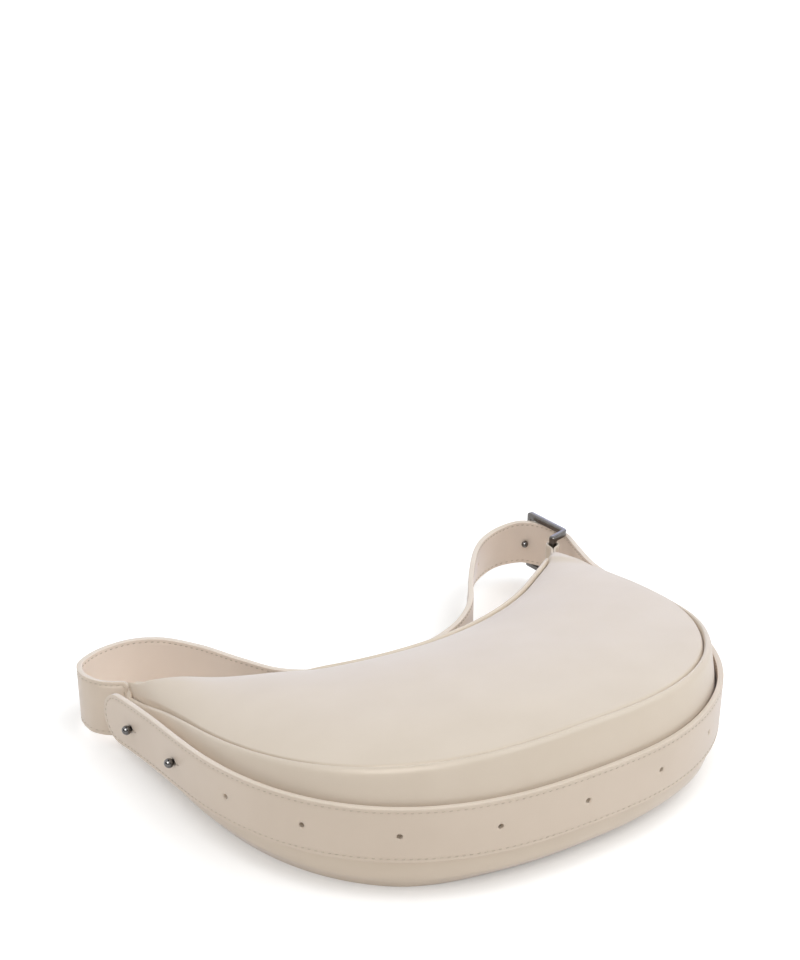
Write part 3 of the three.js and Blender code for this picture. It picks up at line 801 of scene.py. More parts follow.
def gusset_layer(limit, depth, thickness, first, last):
    """Layer behind the gusset's leather, between two rows of its profile."""
    station = np.linspace(-limit, limit, 121)
    outer = inset_rows(profile_of(gusset_measures(station)), depth)[:, first:last]
    faces = (outer, inset_rows(outer, thickness))
    return ribbon(*[on_outline(station[:, None], rows[..., 0], rows[..., 1]) for rows in faces])


def tip_arc(hand):
    """Turn of the gusset round a tip of the bag: places from outline to mouth, and their shares."""
    last = GUSSET_END[hand]
    start = on_outline(np.array(last), 0, 0)[:2]
    leave = hand * outline.direction(np.array(outline_distance(last)))
    angle = MOUTH_END[hand] * MOUTH_HALF_ANGLE
    end = at_mouth_angle(angle, 0, 0)[:2]
    arrive = -hand * np.array([math.cos(angle), math.sin(angle)])
    share = np.linspace(0, 1, 13)[1:, None]
    return pulled_curve([start, start + leave * TIP_LEAVE, end - arrive * TIP_ARRIVE, end], share), share


def gusset_sheet():
    """Leather of the gusset, along the outline and round both tips to the mouth."""
    station = np.linspace(GUSSET_END[-1], GUSSET_END[1], 181)
    # Columns are the place, the measures and how far the right tip's turn has come
    table = np.column_stack([on_outline(station, 0, 0)[:, :2], gusset_measures(station), 0 * station])
    for hand in (-1, 1):
        arc, share = tip_arc(hand)
        last = np.array(GUSSET_END[hand])
        at_mouth = np.array([mouth_height(MOUTH_END[hand]), TIP_BULGE, 0, 0, hidden_at(last)])
        tip = np.column_stack([arc, mix(gusset_measures(last), at_mouth, share), share * (hand > 0)])
        table = np.vstack([table, tip] if hand > 0 else [tip[::-1], table])
    line, measures, turned = table[:, :2], table[:, 2:7], table[:, 7:]
    along = unit(np.gradient(line, axis=0))
    outer = profile_of(measures)
    outer[..., 1] = np.maximum(outer[..., 1], 0)
    flare = on_rim(np.array(TIP_RIGHT), 0, 0) - on_mouth(np.array(TIP_RIGHT), 0, 0)
    grids = []
    for rows in (outer, inset_rows(outer, LEATHER)):
        share = turned * rim_share(rows[..., 1], measures[:, :1])
        grids.append(frames_to_points(line, along, rows) + share[..., None] * flare)
    return ribbon(*grids)


def mouth_band(first, last, open_row, inner_row, samples, rows=121):
    """Band along the mouth from control rows of (inset, z) on its open and inner faces."""
    station = np.linspace(first, last, rows)
    grids = []
    for row in (open_row(station), inner_row(station)):
        smooth = smooth_rows(row, samples)
        places = (station[:, None], smooth[..., 0], smooth[..., 1])
        share = rim_share(smooth[..., 1:], mouth_height(station)[:, None, None])
        grids.append(mix(on_mouth(*places), on_rim(*places), share))
    return ribbon(*grids)


def rim_top(station):
    """Height of the rim, which sinks behind the full front panel towards the left tip."""
    return mouth_height(station) - grown(-station, *RIM_SUNK_LEFT)


def band_row(fixed, hung=()):
    """Makes control rows of a band: fixed points of (inset, z), then (inset, rise over the rim's top)."""
    def row(station):
        pairs = [(inset, z + 0 * station) for inset, z in fixed]
        pairs += [(inset, rim_top(station) + rise) for inset, rise in hung]
        return rows_of(*pairs)
    return row


RIM_OPEN_ROW = band_row(
    ((0.5, ZIP_TOP), (0, ZIP_TOP + 1)),
    ((0, -6), (-0.4, -3.4), (-0.9, -1.5), (-0.4, 0.6), (1, 1.3), (2.4, 0.6), (3, -1.4)))
RIM_INNER_ROW = band_row(
    ((1.8, ZIP_TOP), (2.2, ZIP_TOP + 1)),
    ((2.2, -7), (2.2, -6), (2.2, -5), (2.2, -4.4), (2.3, -3.8), (2.4, -3.2), (2.5, -2.6)))


def corner_row(inset):
    """Low wall that closes the corner of the mouth beyond the rim's end, under the front panel."""
    def row(station):
        top = mouth_height(station) - LEATHER
        return rows_of((inset, ZIP_TOP + 0 * top), (inset, ZIP_TOP + 0.4 * (top - ZIP_TOP)), (inset, top))
    return row


def back_facing_row(near, far):
    low = LEATHER + GAP
    return band_row(((near, low), (near, low + 3), (near, ZIP_BOTTOM - 1), (far, ZIP_BOTTOM)))


def mouth_stitches(rise):
    end = MOUTH_STITCH_END * MOUTH_HALF_ANGLE
    angle = np.arange(-end, end, STITCH_PITCH / MOUTH_RADIUS)
    centre = at_mouth_angle(angle, -MOUTH_STITCH_OUT, ZIP_HEIGHT + rise)
    along = points_of(np.cos(angle), np.sin(angle), 0)
    normal = points_of(-np.sin(angle), np.cos(angle), 0)
    return stitches(centre, along, normal)


def add_body():
    front = front_sheet(TIP_LEFT, TIP_RIGHT, 0, LEATHER, PANEL_MOUTH_INSET, SEAM_INSET + GAP)
    add_part("front_panel", "leather", front, leather)
    add_part("gusset", "leather", gusset_sheet(), leather)
    stiffener = gusset_layer(BOARD_END, LEATHER + GAP, BOARD, *BOARD_ROWS)
    add_part("gusset_board", "sheet", stiffener, board, slot="board")
    back = back_sheet(-TIP_LEFT, 0, LEATHER, GAP, LEATHER)
    add_part("back_panel", "leather", back, leather)
    rim = mouth_band(FACING_LEFT, RIM_END, RIM_OPEN_ROW, RIM_INNER_ROW, 33)
    corner = mouth_band(CORNER_START, CORNER_END, corner_row(1), corner_row(2), 17, rows=9)
    add_piece("mouth_rim_leather", merge([rim, corner]), leather, "bag", "leather", "mouth_facing_front")
    back_rows = (back_facing_row(0, 0.5), back_facing_row(2.2, 1.8))
    facing = mouth_band(-BACK_FACING_END, BACK_FACING_END, *back_rows, 17)
    add_piece("mouth_back_leather", facing, leather, "bag", "leather", "mouth_facing_back")
    rise = ZIP_CHANNEL / 2 + MOUTH_STITCH_RISE
    seams = merge([mouth_stitches(rise), mouth_stitches(-rise)])
    add_piece("mouth_stitches", seams, thread_and_painted_shade, "bag", "leather")


def pocket_sheet():
    x, y = np.meshgrid(np.linspace(-POCKET_HALF_WIDTH, POCKET_HALF_WIDTH, 41),
                       np.linspace(POCKET_LOW, POCKET_LOW + POCKET_DEPTH, 27), indexing="ij")
    across = (x + POCKET_HALF_WIDTH) / (2 * POCKET_HALF_WIDTH)
    bow = POCKET_BOW * np.sin(math.pi * across) * np.clip((y - POCKET_LOW) / POCKET_DEPTH, 0, 1)
    low = LEATHER + LINING + 4 * GAP
    return ribbon(points_of(x, y, low + POCKET_THICKNESS + bow), points_of(x, y, low))


def add_lining():
    low = LEATHER + 2 * GAP
    edge = SEAM_INSET + LINING_EDGE
    front = front_sheet(-LINING_END, LINING_END, low, LINING, LINING_INSET, edge, rows=81, columns=33, roll=0)
    back = back_sheet(LINING_END, low, LINING, LINING_INSET, LINING_EDGE)
    side = gusset_layer(LINING_GUSSET_END, LEATHER + LINING_GAP, LINING, *LINING_ROWS)
    # Each cut's flat width and length are metres
    cuts = (
        ("lining_front", front, 0.33, 0.26, "front_panel_leather"),
        ("lining_back", back, 0.33, 0.25, "back_panel_leather"),
        ("lining_gusset", side, 0.075, 0.72, "gusset_leather"),
        ("inner_pocket", pocket_sheet(), 0.154, 0.099, "lining_back_cloth"),
    )
    for node, shape, width, length, rests_on in cuts:
        piece = add_part(node, "cloth", shape, lining_cloth, slot="lining")


# Zip
# Half a tooth, whose head ends just short of the zip's middle line, where the slider's post runs
TOOTH_HALF = np.array([(0.75, 3.4), (0.75, 2.1), (0.5, 1.4), (0.68, 0.8), (0.42, 0.38)])


def zip_place(angle):
    """Maps (along the mouth, above the zip's middle line, outward from its wall) to points."""
    base = at_mouth_angle(angle, 0, ZIP_HEIGHT)

    def place(along, rise, outward):
        x = base[0] + math.cos(angle) * along - math.sin(angle) * outward
        y = base[1] + math.sin(angle) * along + math.cos(angle) * outward
        return points_of(x, y, base[2] + rise)
    return place


def add_zip():
    tooth = np.vstack([TOOTH_HALF, TOOTH_HALF[::-1] * (-1, 1)])
    step = TOOTH_PITCH / MOUTH_RADIUS
    for side, hand in (("front", 1), ("back", -1)):
        heights = sorted(ZIP_HEIGHT + hand * rise for rise in TAPE_RISES)
        tape_rows = [band_row([(inset, z) for z in heights]) for inset in TAPE_INSETS]
        tape = mouth_band(-TAPE_END, TAPE_END, *tape_rows, 7)
        add_part(f"zip_tape_{side}", "cloth", tape, tape_cloth, slot="zip_tape")
        angles = np.arange(-ZIP_END + (hand > 0) * step / 2, ZIP_END, step)
        row = merge([chamfered(tooth * (1, hand), *TOOTH_DEPTHS, zip_place(angle)) for angle in angles])
        add_part(f"zip_teeth_{side}", "metal", row, dark_chrome)
    stop_shape = rounded_rectangle((-1.2, -3), (1.2, 3), 0.6)
    tab_shape = rounded_rectangle((-4, -6.5), (4, 6.5), 1.5)
    for side, hand in (("left", -1), ("right", 1)):
        stop = chamfered(stop_shape, *STOP_DEPTHS, zip_place(hand * (ZIP_END + STOP_PAST)))
        add_part(f"zip_stop_{side}", "metal", stop, dark_chrome)
        tab = chamfered(tab_shape, *END_TAB_DEPTHS, zip_place(hand * (ZIP_END + END_TAB_PAST)), 0.4)
        add_part(f"zip_end_tab_{side}", "leather", tab, leather)


def blunt(value, power):
    """Fills out a sine or cosine towards its ends."""
    return np.sign(value) * np.abs(value) ** power


def slider_arch(place):
    """Bridge over the slider that holds its pull."""
    turn = np.linspace(0, math.pi, 13)
    spots = np.column_stack([2.9 * blunt(np.cos(turn), 0.5), 0.2 + 3.2 * np.sqrt(np.sin(turn))])
    normals = unit(np.gradient(spots, axis=0)) @ np.array([[0, -1], [1, 0]])
    across, rise = rounded_rectangle((-0.5, -1.2), (0.5, 1.2), 0.35).T
    rings = []
    for spot, normal in zip(spots, normals):
        rings.append(place(spot[0] + normal[0] * across, rise, spot[1] + normal[1] * across))
    return loft(np.stack(rings))


def add_slider():
    place = zip_place(ZIP_REST)
    turn = np.linspace(0, 2 * math.pi, 36, endpoint=False)
    along = SLIDER_HALF_LENGTH * blunt(np.cos(turn), 0.6)
    half_width = SLIDER_HALF_WIDTH - SLIDER_TAPER * along
    shield = np.column_stack([along, half_width * blunt(np.sin(turn), 0.6)])
    post = rounded_rectangle((3.4, -0.26), (5.8, 0.26), 0.2)
    slider = merge([
        chamfered(shield, -1.3, 0.4, place, 0.5),
        chamfered(shield, -6, -4.5, place, 0.5),
        chamfered(post, -4.9, -0.9, place, 0.1),
        slider_arch(place),
    ])
    add_part("zip_slider", "metal", slider, dark_chrome, "zip_slider")
    outer = rounded_rectangle((-0.7, -3.5), (PULL_LENGTH, 3.5), 1.6, (4, 12))
    window = rounded_rectangle((0.7, -2.1), (6, 2.1), 0.8, (4, 12))
    pull = ring_plate(outer, window, 0.7, lambda along, rise, depth: place(along, rise, depth + PULL_OUT))
    add_part("zip_pull", "metal", pull, dark_chrome, "zip_pull")


# Strap
# Each point is x, y, z and the strap's lean in degrees: how far its top edge tips to the outer side
SHOULDER_ROUTE = np.array([
    (-178.2, 176.2, 28.6, -21.3), (-188.2, 185, 27.6, -18), (-193.6, 192.6, 27.2, -14),
    (-195.8, 201.2, 27, -8), (-196, 209, 26.5, -4), (-193.8, 218.5, 25.8, -1),
    (-187.5, 228.5, 25.3, 2), (-169.5, 238, 25, 3), (-146, 239.5, 25, 3), (-127, 232, 24.5, 2),
    (-108, 208, 24, 0), (-93.5, 175, 24, 0), (-77, 146, 23.5, 0), (-50, 127, 23.5, 0),
    (-15, 119.5, 24, 0), (29, 121, 25, 0), (62, 133.5, 25.5, 0), (88.8, 154.4, 26.2, 0),
    (110.4, 183.4, 27.2, 0), (130.8, 211, 28.6, -4), (154.6, 235.6, 29.8, -8.5), (182.3, 247, 31, -9),
    (199, 239.7, 34.4, -5), (207.6, 229, 34.6, -2), (212.8, 214, 34.2, 0), (213.2, 198, 34, 0),
    (208.2, 180, 33.2, 0), (198.2, 148, 33.2, 0), (191.8, 115, 35.3, 0),
])
BUCKLE_HOLE_PLACE = (203, 236.3)
BUCKLE_CUT_PLACE = (213.1, 206)
WRAP_CUT_PITCHES = 1.7


def wrap_height(station):
    return STRAP_HEIGHT - np.where(station < 0, STRAP_DROP_LEFT, STRAP_DROP_RIGHT) * station ** 2


def wrap_offset(station):
    lifted = np.maximum(0, (-station - TAIL_LIFT_FROM) / (1 - TAIL_LIFT_FROM))
    return STRAP_OFFSET + TAIL_LIFT * lifted ** 2 - tuck_at(station)


def strap_points():
    station = np.linspace(WRAP_START, TAIL_END, 27)
    return np.vstack([SHOULDER_ROUTE[:, :3], on_outline(station, wrap_offset(station), wrap_height(station))])


strap = Path(strap_points(), 0.5)
lean_marks = strap.marks[:len(SHOULDER_ROUTE) * Path.STEPS:Path.STEPS]
wrap_centre = strap.nearest((0, BELLY_Y - BELLY_DROP - STRAP_OFFSET))
first_stud = wrap_centre + FIRST_STUD
second_stud = first_stud - HOLE_PITCH
buckle_hole = strap.nearest(BUCKLE_HOLE_PLACE)
hole_count = round((second_stud - buckle_hole) / HOLE_PITCH)
hole_pitch = (second_stud - buckle_hole) / hole_count
buckle_cut = strap.nearest(BUCKLE_CUT_PLACE)
wrap_cut = buckle_hole + WRAP_CUT_PITCHES * HOLE_PITCH

# Half the thickness at a margin from the belt's edge, with a dip where the stitches lie
BELT_MARGINS = (0, 0.12, 0.4, 1.6, STITCH_MARGIN, 3.4, SEWN_CORNER, 7)
BELT_THICKNESS = (1.5, 1.75, 1.9, 1.95, 1.55, 1.95, 2, 2)
# Lines along the flat belt, as rises over its middle line
BELT_EDGE_LINES = [*[STRAP_HALF - margin for margin in BELT_MARGINS[:-1]], 9, 6, 3, 1.5]
BELT_LINES = np.array([*BELT_EDGE_LINES, 0, *[-rise for rise in reversed(BELT_EDGE_LINES)]])
# Rings round a hole: their size in radii and the margin to the edge
HOLE_RINGS = ((1.7, STRAP_HALF), (1.28, STRAP_HALF), (0.97, 0))
# Half sides of the squares in the belt that hold the rings
HOLE_BLOCK = 3
STUD_HOLE_BLOCK = 6


def lean_at(distance):
    position = np.interp(distance, lean_marks, np.arange(len(lean_marks)))
    index = np.minimum(position.astype(int), len(lean_marks) - 2)
    lean = mix(SHOULDER_ROUTE[index, 3], SHOULDER_ROUTE[index + 1, 3], eased(position - index, 0, 1))
    return np.radians(lean)


def on_strap(distance, rise, out):
    place = strap.at(distance)
    along = strap.direction(distance)
    lean = lean_at(np.asarray(distance, float))
    level_reach = np.sin(lean) * rise + np.cos(lean) * out
    height = np.cos(lean) * rise - np.sin(lean) * out
    flat = np.hypot(along[..., 0], along[..., 1])
    x = place[..., 0] - along[..., 1] / flat * level_reach
    y = place[..., 1] + along[..., 0] / flat * level_reach
    return points_of(x, y, place[..., 2] + height)


class FlatBelt:
    """Belt laid flat: points of (distance, rise), faces, and each point's margin to the edge."""
    STEP = 2.2
    TINY = 1e-6

    def __init__(self, start, end, start_corner=0, end_corner=0):
        self.holes = belt_holes(start, end)
        self.points, self.margins, self.faces = [], [], []
        self.marks = self.stations(start + start_corner, end - end_corner)
        self.rows = []
        for mark in self.marks:
            self.rows.append([self.add(mark, rise, STRAP_HALF - abs(rise)) for rise in BELT_LINES])
        blocks = [self.cut_hole(*hole) for hole in self.holes]
        for i in range(len(self.rows) - 1):
            skipped = {j for rows, columns in blocks if i in rows for j in columns}
            self.join(self.rows[i], self.rows[i + 1], skipped)
        if start_corner:
            self.close_end(self.rows[0], self.marks[0], -1, start_corner)
        if end_corner:
            self.close_end(self.rows[-1], self.marks[-1], 1, end_corner)

    def stations(self, start, end):
        fixed = [start, end]
        for distance, _, _, block in self.holes:
            fixed.extend(distance + offset for offset in BELT_LINES if abs(offset) <= block)
        marks = []
        for first, second in zip(sorted(fixed)[:-1], sorted(fixed)[1:]):
            steps = max(1, math.ceil((second - first) / self.STEP - self.TINY))
            marks.extend(np.linspace(first, second, steps, endpoint=False))
        return np.array([*marks, end])

    def add(self, distance, rise, margin):
        self.points.append((distance, rise))
        self.margins.append(margin)
        return len(self.points) - 1

    def join(self, first, second, skipped=()):
        """Faces between two rows of points. One with two equal corners becomes a triangle."""
        for k in range(len(first) - 1):
            face = list(dict.fromkeys((first[k], first[k + 1], second[k + 1], second[k])))
            if k not in skipped and len(face) > 2:
                self.faces.append(face)

    def cut_hole(self, distance, radius, slit, block):
        """Fills a square of cells with rings round the hole. Returns the cells' rows and columns."""
        inside = [i for i, mark in enumerate(self.marks) if abs(mark - distance) <= block + self.TINY]
        across = [j for j, rise in enumerate(BELT_LINES) if abs(rise) <= block]
        top, bottom, left, right = across[0], across[-1], inside[0], inside[-1]
        loop = [(i, top) for i in range(left, right)] + [(right, j) for j in range(top, bottom)]
        loop += [(i, bottom) for i in range(right, left, -1)] + [(left, j) for j in range(bottom, top, -1)]
        outer = [self.rows[i][j] for i, j in loop]
        for size, margin in HOLE_RINGS:
            ring = []
            for i, j in loop:
                angle = math.atan2(BELT_LINES[j], self.marks[i] - distance)
                along_slit = slit and abs(abs(angle) - math.pi) < 0.01
                reach = size * (slit if along_slit else radius)
                ring.append(self.add(distance + reach * math.cos(angle), reach * math.sin(angle), margin))
            self.join([*outer, outer[0]], [*ring, ring[0]])
            outer = ring
        return range(left, right), range(top, bottom)

    def close_end(self, row, mark, hand, corner):
        """Rounds an end: the outer lines turn round both corners, the inner ones stop short."""
        offset = STRAP_HALF - corner
        lanes = [j for j, rise in enumerate(BELT_LINES) if rise >= offset - self.TINY]
        last = lanes[-1]
        mirrored = len(BELT_LINES) - 1
        turn = np.linspace(0, math.pi / 2, 10)[1:]
        turn_back = turn[::-1] if offset > 0 else turn[-2::-1]
        # Each fan starts from a line of the row, at a rise, and points at an angle from upright
        fans = [(last, offset, angle) for angle in turn]
        fans += [(j, BELT_LINES[j], math.pi / 2) for j in range(last + 1, mirrored - last)]
        fans += [(mirrored - last, -offset, math.pi - angle) for angle in turn_back]
        rows = [[row[j] for j in lanes]]
        for inner, rise, angle in fans:
            made = []
            for line in BELT_LINES[lanes[:-1]]:
                reach = line - offset
                place = (mark + hand * reach * math.sin(angle), rise + reach * math.cos(angle))
                made.append(self.add(*place, STRAP_HALF - line))
            rows.append([*made, row[inner]])
        rows.append([row[mirrored - j] for j in lanes])
        for first, second in zip(rows[:-1], rows[1:]):
            self.join(first, second)

    def solid(self):
        """Both faces of the belt and the walls between them, with a line where its two layers meet."""
        flat = np.array(self.points)
        count = len(flat)
        half = np.interp(self.margins, BELT_MARGINS, BELT_THICKNESS)
        inward = np.zeros_like(flat)
        uses = {}
        for face in self.faces:
            middle = flat[face].mean(axis=0)
            for a, b in zip(face, face[1:] + face[:1]):
                inward[a] += middle - flat[a]
                uses.setdefault((min(a, b), max(a, b)), []).append((a, b))
        walls = [pairs[0] for pairs in uses.values() if len(pairs) == 1]
        rim = sorted({number for wall in walls for number in wall})
        middle_of = {number: 2 * count + k for k, number in enumerate(rim)}
        groove = flat[rim] + LAYER_GROOVE * unit(inward[rim])
        points = np.vstack([on_strap(*flat.T, half), on_strap(*flat.T, -half), on_strap(*groove.T, 0)])
        faces = self.faces + [[number + count for number in face] for face in self.faces]
        for a, b in walls:
            faces.append([a, b, middle_of[b], middle_of[a]])
            faces.append([middle_of[a], middle_of[b], b + count, a + count])
        return points, faces


def belt_holes(start, end):
    """Holes of a run of the belt, as distance, radius, length of a slit and half side of the block."""
    holes = [(buckle_hole + k * hole_pitch, HOLE_RADIUS, 0, HOLE_BLOCK) for k in range(-1, hole_count)]
    holes += [(stud, STUD_HOLE_RADIUS, STUD_SLIT, STUD_HOLE_BLOCK) for stud in (second_stud, first_stud)]
    return [hole for hole in holes if start + HOLE_CLEAR < hole[0] < end - HOLE_CLEAR]


def stitch_loop():
    """Closed line on the flat belt where the stitches lie, as points (distance, rise)."""
    half = STRAP_HALF - STITCH_MARGIN
    tail = strap.length - STRAP_HALF
    corner = SEWN_CORNER - STITCH_MARGIN
    turn = np.linspace(0, math.pi, 60)
    end_arc = np.column_stack([tail + half * np.sin(turn), half * np.cos(turn)])
    quarter = np.linspace(0, math.pi / 2, 8)
    low_rise = corner - half - corner * np.cos(quarter)
    low_arc = np.column_stack([SEWN_CORNER - corner * np.sin(quarter), low_rise])
    high_arc = low_arc[::-1] * (1, -1)
    return np.vstack([end_arc, low_arc, high_arc, end_arc[:1]])


def belt_stitches(start, end):
    loop = stitch_loop()
    marks = marks_along(loop)
    spots = np.arange(0, marks[-1], STITCH_PITCH)
    place = read_line(loop, marks, spots)
    kept = (place[:, 0] >= start) & (place[:, 0] < end)
    ahead = read_line(loop, marks, spots + 0.4)[kept]
    place = place[kept]
    rows = []
    for face in (1, -1):
        out = face * BELT_STITCH_OUT
        centre = on_strap(*place.T, out)
        along = unit(on_strap(*ahead.T, out) - centre)
        rows.append(stitches(centre, along, on_strap(*place.T, out + face) - centre))
    return merge(rows)


def dress_belt(belt, count):
    """Gives the belt's inner side, then its cut edges, materials partly painted light and highlight."""
    belt.data.materials.append(belt_backing_and_painted_light)
    belt.data.materials.append(edge_paint_and_highlight)
    for face in belt.data.polygons[count:]:
        face.material_index = 1 if face.index < 2 * count else 2


def add_strap():
    # Places in metres, listed with the two bodies of each run; neither is used
    bag_end = (0.126, 0.212, 0.03)
    buckle_in = (0.200, 0.236, 0.034)
    run_low = (0.196, 0.140, 0.035)
    buckle_out = (0.211, 0.190, 0.034)
    tail_low = (-0.160, -0.005, 0.045)
    tail_high = (-0.215, 0.060, 0.045)
    runs = (
        ("strap_shoulder", 0, buckle_cut, {"start_corner": SEWN_CORNER},
         ("bag", "buckle", bag_end, buckle_in), ("strap_shoulder", "strap_buckle_run")),
        ("strap_run", buckle_cut, wrap_cut, {},
         ("bag", "buckle", run_low, buckle_out), ("strap_buckle_run",)),
        ("strap_wrap", wrap_cut, strap.length, {"end_corner": STRAP_HALF},
         ("bag", "tail", tail_low, tail_high), ("strap_wrap", "strap_tail")),
    )
    for name, start, end, corners, (first, second, low, high), replaced in runs:
        flat = FlatBelt(start, end, **corners)
        belt = add_mesh(f"{name}_belt", *flat.solid(), belt_leather)
        dress_belt(belt, len(flat.faces))
        seam = add_mesh(f"{name}_stitches", *belt_stitches(start, end), thread_and_painted_shade)
        for piece in (belt, seam):
            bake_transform(piece)
            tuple(low)
            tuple(high)
        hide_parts(*replaced)


# Metal parts and the buckle's tab
def stud_profile(neck, ball_radius, foot_radius):
    """Rows of (radius, distance): a foot if it has a radius, the neck and the ball."""
    ball = neck + ball_radius * 0.85
    first = math.asin(STUD_NECK_RADIUS / ball_radius)
    turn = np.linspace(first, math.pi, 19)
    rows = [(POLE_RADIUS, 0)]
    if foot_radius:
        rows += [(foot_radius - 0.3, 0), (foot_radius, 0.25), (foot_radius, 0.7), (foot_radius - 0.3, 0.95)]
        rows += [(STUD_NECK_RADIUS + 0.35, 1.0), (STUD_NECK_RADIUS, 1.4)]
    else:
        rows += [(STUD_NECK_RADIUS + 0.5, 0), (STUD_NECK_RADIUS, 0.6)]
    rows += [(max(POLE_RADIUS, ball_radius * math.sin(a)), ball - ball_radius * math.cos(a)) for a in turn]
    return rows


def stud_place(distance):
    """Point on the strap's middle line and the way out of its face."""
    centre = on_strap(np.array(distance), 0, 0)
    return centre, on_strap(np.array(distance), 0, 1) - centre


def gusset_face(place):
    """How far out the gusset's face stands from the outline, beside a place on the strap."""
    station = 2 * outline.nearest(place[:2]) / outline.length - 1
    rows = profile_of(gusset_measures(np.array([station])))[0, FACE_FROM_ROW:]
    return np.interp(place[2], rows[::-1, 1], rows[::-1, 0]), station


def add_studs():
    for number, distance in enumerate((first_stud, second_stud), start=1):
        centre, side = stud_place(distance)
        face, station = gusset_face(centre)
        foot = wrap_offset(station) - face
        origin = centre - side * (foot - 2 * GAP)
        stud = lathe(stud_profile(foot + TAIL_NECK, TAIL_BALL_RADIUS, TAIL_FOOT_RADIUS), origin, side)
        add_part(f"tail_stud_{number}", "metal", stud, polished)


def bent_line():
    """Buckle in plan, from past its free leg, round the corner, to past its heel bar."""
    leg_way = unit(BUCKLE_CORNER - BUCKLE_LEG)
    heel_way = unit(BUCKLE_HEEL - BUCKLE_CORNER)
    share = np.linspace(0, 1, 9)[:, None]
    start, end = BUCKLE_CORNER - leg_way * BUCKLE_BEND, BUCKLE_CORNER + heel_way * BUCKLE_BEND
    bend = pulled_curve([start, BUCKLE_CORNER, end], share)
    reach = BUCKLE_BAR / 2
    return np.vstack([BUCKLE_LEG - leg_way * reach, bend, BUCKLE_HEEL + heel_way * reach])


def add_buckle():
    line = bent_line()
    marks = marks_along(line)

    def place(distance, z, depth):
        spot = read_line(line, marks, distance)
        along = unit(read_line(line, marks, distance + 0.5) - read_line(line, marks, distance - 0.5))
        return points_of(spot[:, 0] - along[:, 1] * depth, spot[:, 1] + along[:, 0] * depth, z)

    steps = (60, 24)
    low, high = BUCKLE_LOW + BUCKLE_LOW_BAR, BUCKLE_HIGH - BUCKLE_BAR
    outer = rounded_rectangle((0, BUCKLE_LOW), (marks[-1], BUCKLE_HIGH), 1.6, steps)
    inner = rounded_rectangle((BUCKLE_BAR, low), (marks[-1] - BUCKLE_BAR, high), 1.2, steps)
    ring = ring_plate(outer, inner, BUCKLE_BAR / 2, place)
    add_part("buckle_frame", "metal", ring, gunmetal, "buckle", sharp_degrees=40)
    centre, outward = stud_place(buckle_hole)
    profile = stud_profile(BUCKLE_STUD_OUT + BUCKLE_NECK, BUCKLE_BALL_RADIUS, 0)
    stud = lathe(profile, centre + BUCKLE_STUD_OUT * outward, -outward)
    add_part("buckle_stud", "metal", stud, polished, "buckle")


# Half of the tab's fold from its root on, as (along, aside), and its half thickness at margins
TAB_ARM = [(0, 0.95), (6, 0.95), (11.5, 1), (14, 1.7), (17, 3.4)]
TAB_MARGINS = np.array([0, 0.25, 0.8, 2, 8])
TAB_THICKNESS = np.array([0.5, 0.75, 0.85, 0.85, 0.85])


def add_tab():
    way = unit(BUCKLE_HEEL - TAB_ROOT)
    side = np.array([-way[1], way[0]])
    half = [TAB_ROOT + way * a + side * b for a, b in TAB_ARM]
    turn = np.linspace(TAB_LOOP_TURN, -TAB_LOOP_TURN, 11)
    loop = [BUCKLE_HEEL + TAB_LOOP * (way * math.cos(a) + side * math.sin(a)) for a in turn]
    other = [TAB_ROOT + way * a - side * b for a, b in reversed(TAB_ARM)]
    fold = Path(half + loop + other, 0.5)
    distance = np.linspace(0, fold.length, 90)
    line, along = fold.at(distance), fold.direction(distance)
    low = TAB_MIDDLE_Z - TAB_HEIGHT / 2
    z = np.concatenate([low + TAB_MARGINS, low + TAB_HEIGHT - TAB_MARGINS[::-1]])
    thick = np.concatenate([TAB_THICKNESS, TAB_THICKNESS[::-1]])
    grids = []
    for face in (1, -1):
        rows = np.broadcast_to(np.stack([face * thick, z], axis=-1), (len(line), len(z), 2))
        grids.append(frames_to_points(line, along, rows))
    add_part("buckle_tab", "leather", ribbon(*grids), leather)


def dress_kept_nodes():
    for name in ("stud_screw_1", "stud_screw_2"):
        for held in nodes[name].material_slots:
            held.material = dark_chrome


# Stage
WORLD_LIGHT = 0.24
WORLD_COLOUR = (1, 0.985, 0.97, 1)
WHITE_LIGHT = (1, 1, 1)
COOL_LIGHT = (0.965, 0.985, 1)
SUN_SPREAD = 60
FLOOR_HALF = 8000
FLOOR_DROP = 0.05
FLOOR_COLOUR = (0.92, 0.88, 0.84, 1)
FLOOR_SHADE = (0.66, 0.95)
FLOOR_GLOW = 0.28
# Reach of the floor's shade beside what stands on it, in metres
FLOOR_SHADE_REACH = 0.014
CARD_WAY = (-0.4, -0.62, 0.67)
CARD_SPREAD = 78
CARD_LIGHT = 0.04
WINDOW_WAY = (-0.62, -0.36, 0.7)
WINDOW_SPREAD = 19
WINDOW_LIGHT = 7
SHEET_WAY = (0.62, 0.74, -0.26)
SHEET_SPREAD = 37
SHEET_COLOUR = (0.34, 0.40, 0.84, 1)
PATCH_FADE = 1.2


def add_camera():
    data = bpy.data.cameras.new("camera")
    data.lens = CAMERA_LENS
    data.sensor_width = CAMERA_SENSOR
    data.shift_x, data.shift_y = CAMERA_SHIFT
    camera = add_object("camera", data)
    camera.location = CAMERA_PLACE
    camera.rotation_euler = (CAMERA_TARGET - CAMERA_PLACE).to_track_quat("-Z", "Y").to_euler()
    bpy.context.scene.camera = camera


def brighter(tree, first, second):
    return add_node(tree, "ShaderNodeMath", first, second, settings={"operation": "MAXIMUM"}).outputs[0]


def mix_shaders(tree, share, first, second):
    return add_node(tree, "ShaderNodeMixShader", share, first, second).outputs[0]


def add_shaders(tree, first, second):
    return add_node(tree, "ShaderNodeAddShader", first, second).outputs[0]


